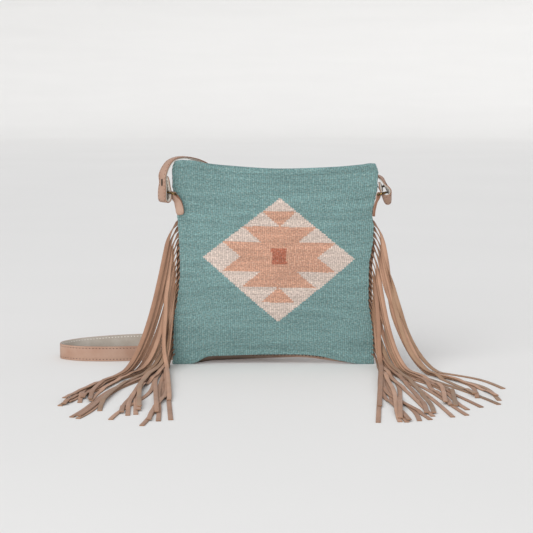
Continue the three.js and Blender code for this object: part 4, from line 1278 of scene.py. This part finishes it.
# %% Settle the strips
SETTLE_ROUNDS = 120
NEIGHBOUR_ROUNDS = 6
SMOOTH_ROUNDS = 4
PUSH_SMOOTHING = 2
NEAR = 6.5
OVERLAP_WIDTH = 4.9
LAYER_AIR = 0.5
LAYER = STRIP_THICKNESS + LAYER_AIR
FARTHEST_BEHIND = 14
LARGEST_PUSH, PUSH_GAIN, HIT_WEIGHT = 0.5, 1.6, 0.5
SINK = 0.04
FIXED_NODES = 3


def smooth_along(values, rounds):
    """Values along each strip with their small steps rounded off, ends kept."""
    for _ in range(rounds):
        values = np.concatenate([
            values[:, :1], (values[:, :-2] + 2 * values[:, 1:-1] + values[:, 2:]) / 4, values[:, -1:],
        ], axis=1)
    return values


def keep_length(lines, gap):
    """Each point is drawn back to its distance from the one before it."""
    for k in range(FIXED_NODES, lines.shape[1]):
        step = lines[:, k] - lines[:, k - 1]
        lines[:, k] = lines[:, k - 1] + unit(step) * gap
    return lines


def settle(lines, sign):
    """Pushes overlapping strips apart until each rests on those below it."""
    count, nodes = lines.shape[:2]
    owner = np.repeat(np.arange(count), nodes)
    gap = np.linalg.norm(lines[:, 1] - lines[:, 0], axis=-1)[:, None]
    for r in range(SETTLE_ROUNDS):
        flat = lines.reshape(-1, 3)
        if r % NEIGHBOUR_ROUNDS == 0:
            square = (flat * flat).sum(-1)
            distance = square[:, None] + square[None] - 2 * flat @ flat.T
            above, below = np.nonzero((distance < NEAR ** 2) & (owner[:, None] < owner[None]))
            facing = strip_frames(lines, sign)[1].reshape(-1, 3)
            apart_way = unit(facing[above] + facing[below])
        offset = flat[above] - flat[below]
        height = (offset * apart_way).sum(-1)
        aside = np.linalg.norm(offset - height[:, None] * apart_way, axis=-1)
        short = np.where((aside < OVERLAP_WIDTH) & (height > -FARTHEST_BEHIND), LAYER - height, 0)
        push = np.clip(short, 0, LARGEST_PUSH)[:, None] * apart_way / 2
        moves = np.zeros_like(flat)
        hits = np.ones(len(flat))
        np.add.at(moves, above, push)
        np.add.at(moves, below, -push)
        np.add.at(hits, np.concatenate([above[short > 0], below[short > 0]]), HIT_WEIGHT)
        moves = (moves / hits[:, None] * PUSH_GAIN).reshape(lines.shape)
        flatness = 1 - np.abs(unit(np.gradient(lines, axis=1))[..., 2])
        moves[..., 2] -= SINK * flatness
        moves = smooth_along(moves, PUSH_SMOOTHING)
        moves[:, :FIXED_NODES] = 0
        lines = lines + moves
        lines[..., 2] = np.maximum(lines[..., 2], HALF_STRIP)
        lines = keep_length(smooth_along(lines, 1) if r % SMOOTH_ROUNDS == 0 else lines, gap)
        lines[..., 2] = np.maximum(lines[..., 2], HALF_STRIP)
    return lines


settled = {name: settle(lines, SIDE_SIGN[name]) for name, lines in strip_lines.items()}
print("most forward strip:", round(float(settled["left"][..., 1].min())), "mm")

# %% Twist and header
FLIP_SHARE = 0.4
FLIP_FROM, FLIP_LENGTH = 40, 80
LOWEST_FLIP = 12
TWIST_STRAY, SWAY_LENGTH = 0.35, 130
HEADER_DEPTH = 12
HEADER_HALF = 0.7
HEADER_INSET = 0.6
# Below the open hooks the header stands this far past the seam; painted dark, it stands for the shade in the
# slot beside the bag
HEADER_SHOWS = 4.0
HOOKS_OPEN = (146, 158)
HEADER_STEPS = 24


def strip_twist(index, sign, run):
    """How far a strip turns about its own line: a slow sway, and for some a half turn to the flesh side."""
    most = TWIST_STRAY * stray(index, sign * SALTS["wave"])
    sway = most * np.sin(np.pi * np.clip(run / SWAY_LENGTH, 0, 1))
    if index >= LOWEST_FLIP or stray(index, sign * SALTS["flip"]) < 1 - 2 * FLIP_SHARE:
        return sway
    ease = np.clip((run - FLIP_FROM) / FLIP_LENGTH, 0, 1)
    return sway + math.pi * ease * ease * (3 - 2 * ease)


def header_part(name):
    """The uncut hide that the strips grow from: inside the seam at the top, and lower down standing out past
    it as a dark band of painted shade.
    """
    sign = SIDE_SIGN[name]
    levels = np.linspace(FRINGE_BOTTOM - STRIP_WIDTH / 2, FRINGE_TOP + STRIP_WIDTH, HEADER_STEPS)
    inset = np.interp(levels, HOOKS_OPEN, (-HEADER_SHOWS, HEADER_INSET))
    rim = side_edge(FRINGES[name][0], levels) - sign * inset
    deep = HEADER_DEPTH / 2
    middle_line = np.stack([rim - sign * deep, np.zeros_like(rim), levels], -1)
    across, _, out = band_frame(middle_line, np.tile((1.0, 0, 0), (HEADER_STEPS, 1)))
    section = np.array([(-1, -1), (1, -1), (1, 1), (-1, 1)]) * (deep, HEADER_HALF)
    return sweep(middle_line, across, out, section)


print("points in a header:", len(header_part("left")[0]))

# %% Fringe pieces
STRIP_SECTION = np.array([
    (-2.3, -0.6), (0, -0.52), (2.3, -0.6), (2.6, -0.34), (2.6, 0.34), (2.3, 0.6), (0, 0.68), (-2.3, 0.6),
    (-2.6, 0.34), (-2.6, -0.34),
])
CUT_FROM = 2.5
# Painted shade: each strip is painted dark brown past the seam, fading out over 16 mm, and the header gets
# the full painted shade
ROOT_SHADE, ROOT_SHADE_END = 0.75, 16.0
HEADER_MARKS = {"tint": 1.0, "flesh": 0.0, "edge": 0.0, "root": 1.0}
SHARP_ANGLE = 50

strip_run = np.linspace(0, STRIP_LENGTH, STRIP_NODES)
shaded = ROOT_SHADE * np.clip(1 - (strip_run - ROOT_DEPTH) / ROOT_SHADE_END, 0, 1)
strip_seam_shade = np.repeat(shaded, len(STRIP_SECTION))
strip_flesh = np.tile(STRIP_SECTION[:, 1] < 0, STRIP_NODES).astype(float)
strip_edge = np.tile(np.abs(STRIP_SECTION[:, 0]) > CUT_FROM, STRIP_NODES).astype(float)
for name, lines in settled.items():
    sign = SIDE_SIGN[name]
    parts = []
    marks = {word: [] for word in HEADER_MARKS}
    all_across, all_facing = strip_frames(lines, sign)
    for index, centres in enumerate(lines):
        twist = strip_twist(index, sign, strip_run)[:, None]
        across = all_across[index] * np.cos(twist) + all_facing[index] * np.sin(twist)
        across, _, out = band_frame(centres, across)
        tilts = np.abs(np.stack([across[:, 2], out[:, 2]], -1))
        lowest = (tilts[:, None] * np.abs(STRIP_SECTION)).sum(-1).max(1)
        centres = np.stack([centres[:, 0], centres[:, 1], np.maximum(centres[:, 2], lowest)], -1)
        parts.append(sweep(centres, across, out, STRIP_SECTION))
        marks["tint"].append(np.full_like(strip_seam_shade, 0.5 + 0.5 * stray(index, sign * SALTS["tint"])))
        marks["flesh"].append(strip_flesh)
        marks["edge"].append(strip_edge)
        marks["root"].append(strip_seam_shade)
    parts.append(header_part(name))
    fringe_points, fringe_faces = join_pieces(parts)
    node = f"fringe_{name}"
    fringe = add_piece(f"{node}_strips", fringe_points, fringe_faces, FRINGE_HIDE, node, "hide")
    for word, values in marks.items():
        header_mark = np.full(len(parts[-1][0]), HEADER_MARKS[word])
        mark(fringe, word, np.concatenate([*values, header_mark]))
    fringe.data.set_sharp_from_angle(angle=math.radians(SHARP_ANGLE))
    print(fringe.name, "faces:", len(fringe_faces))
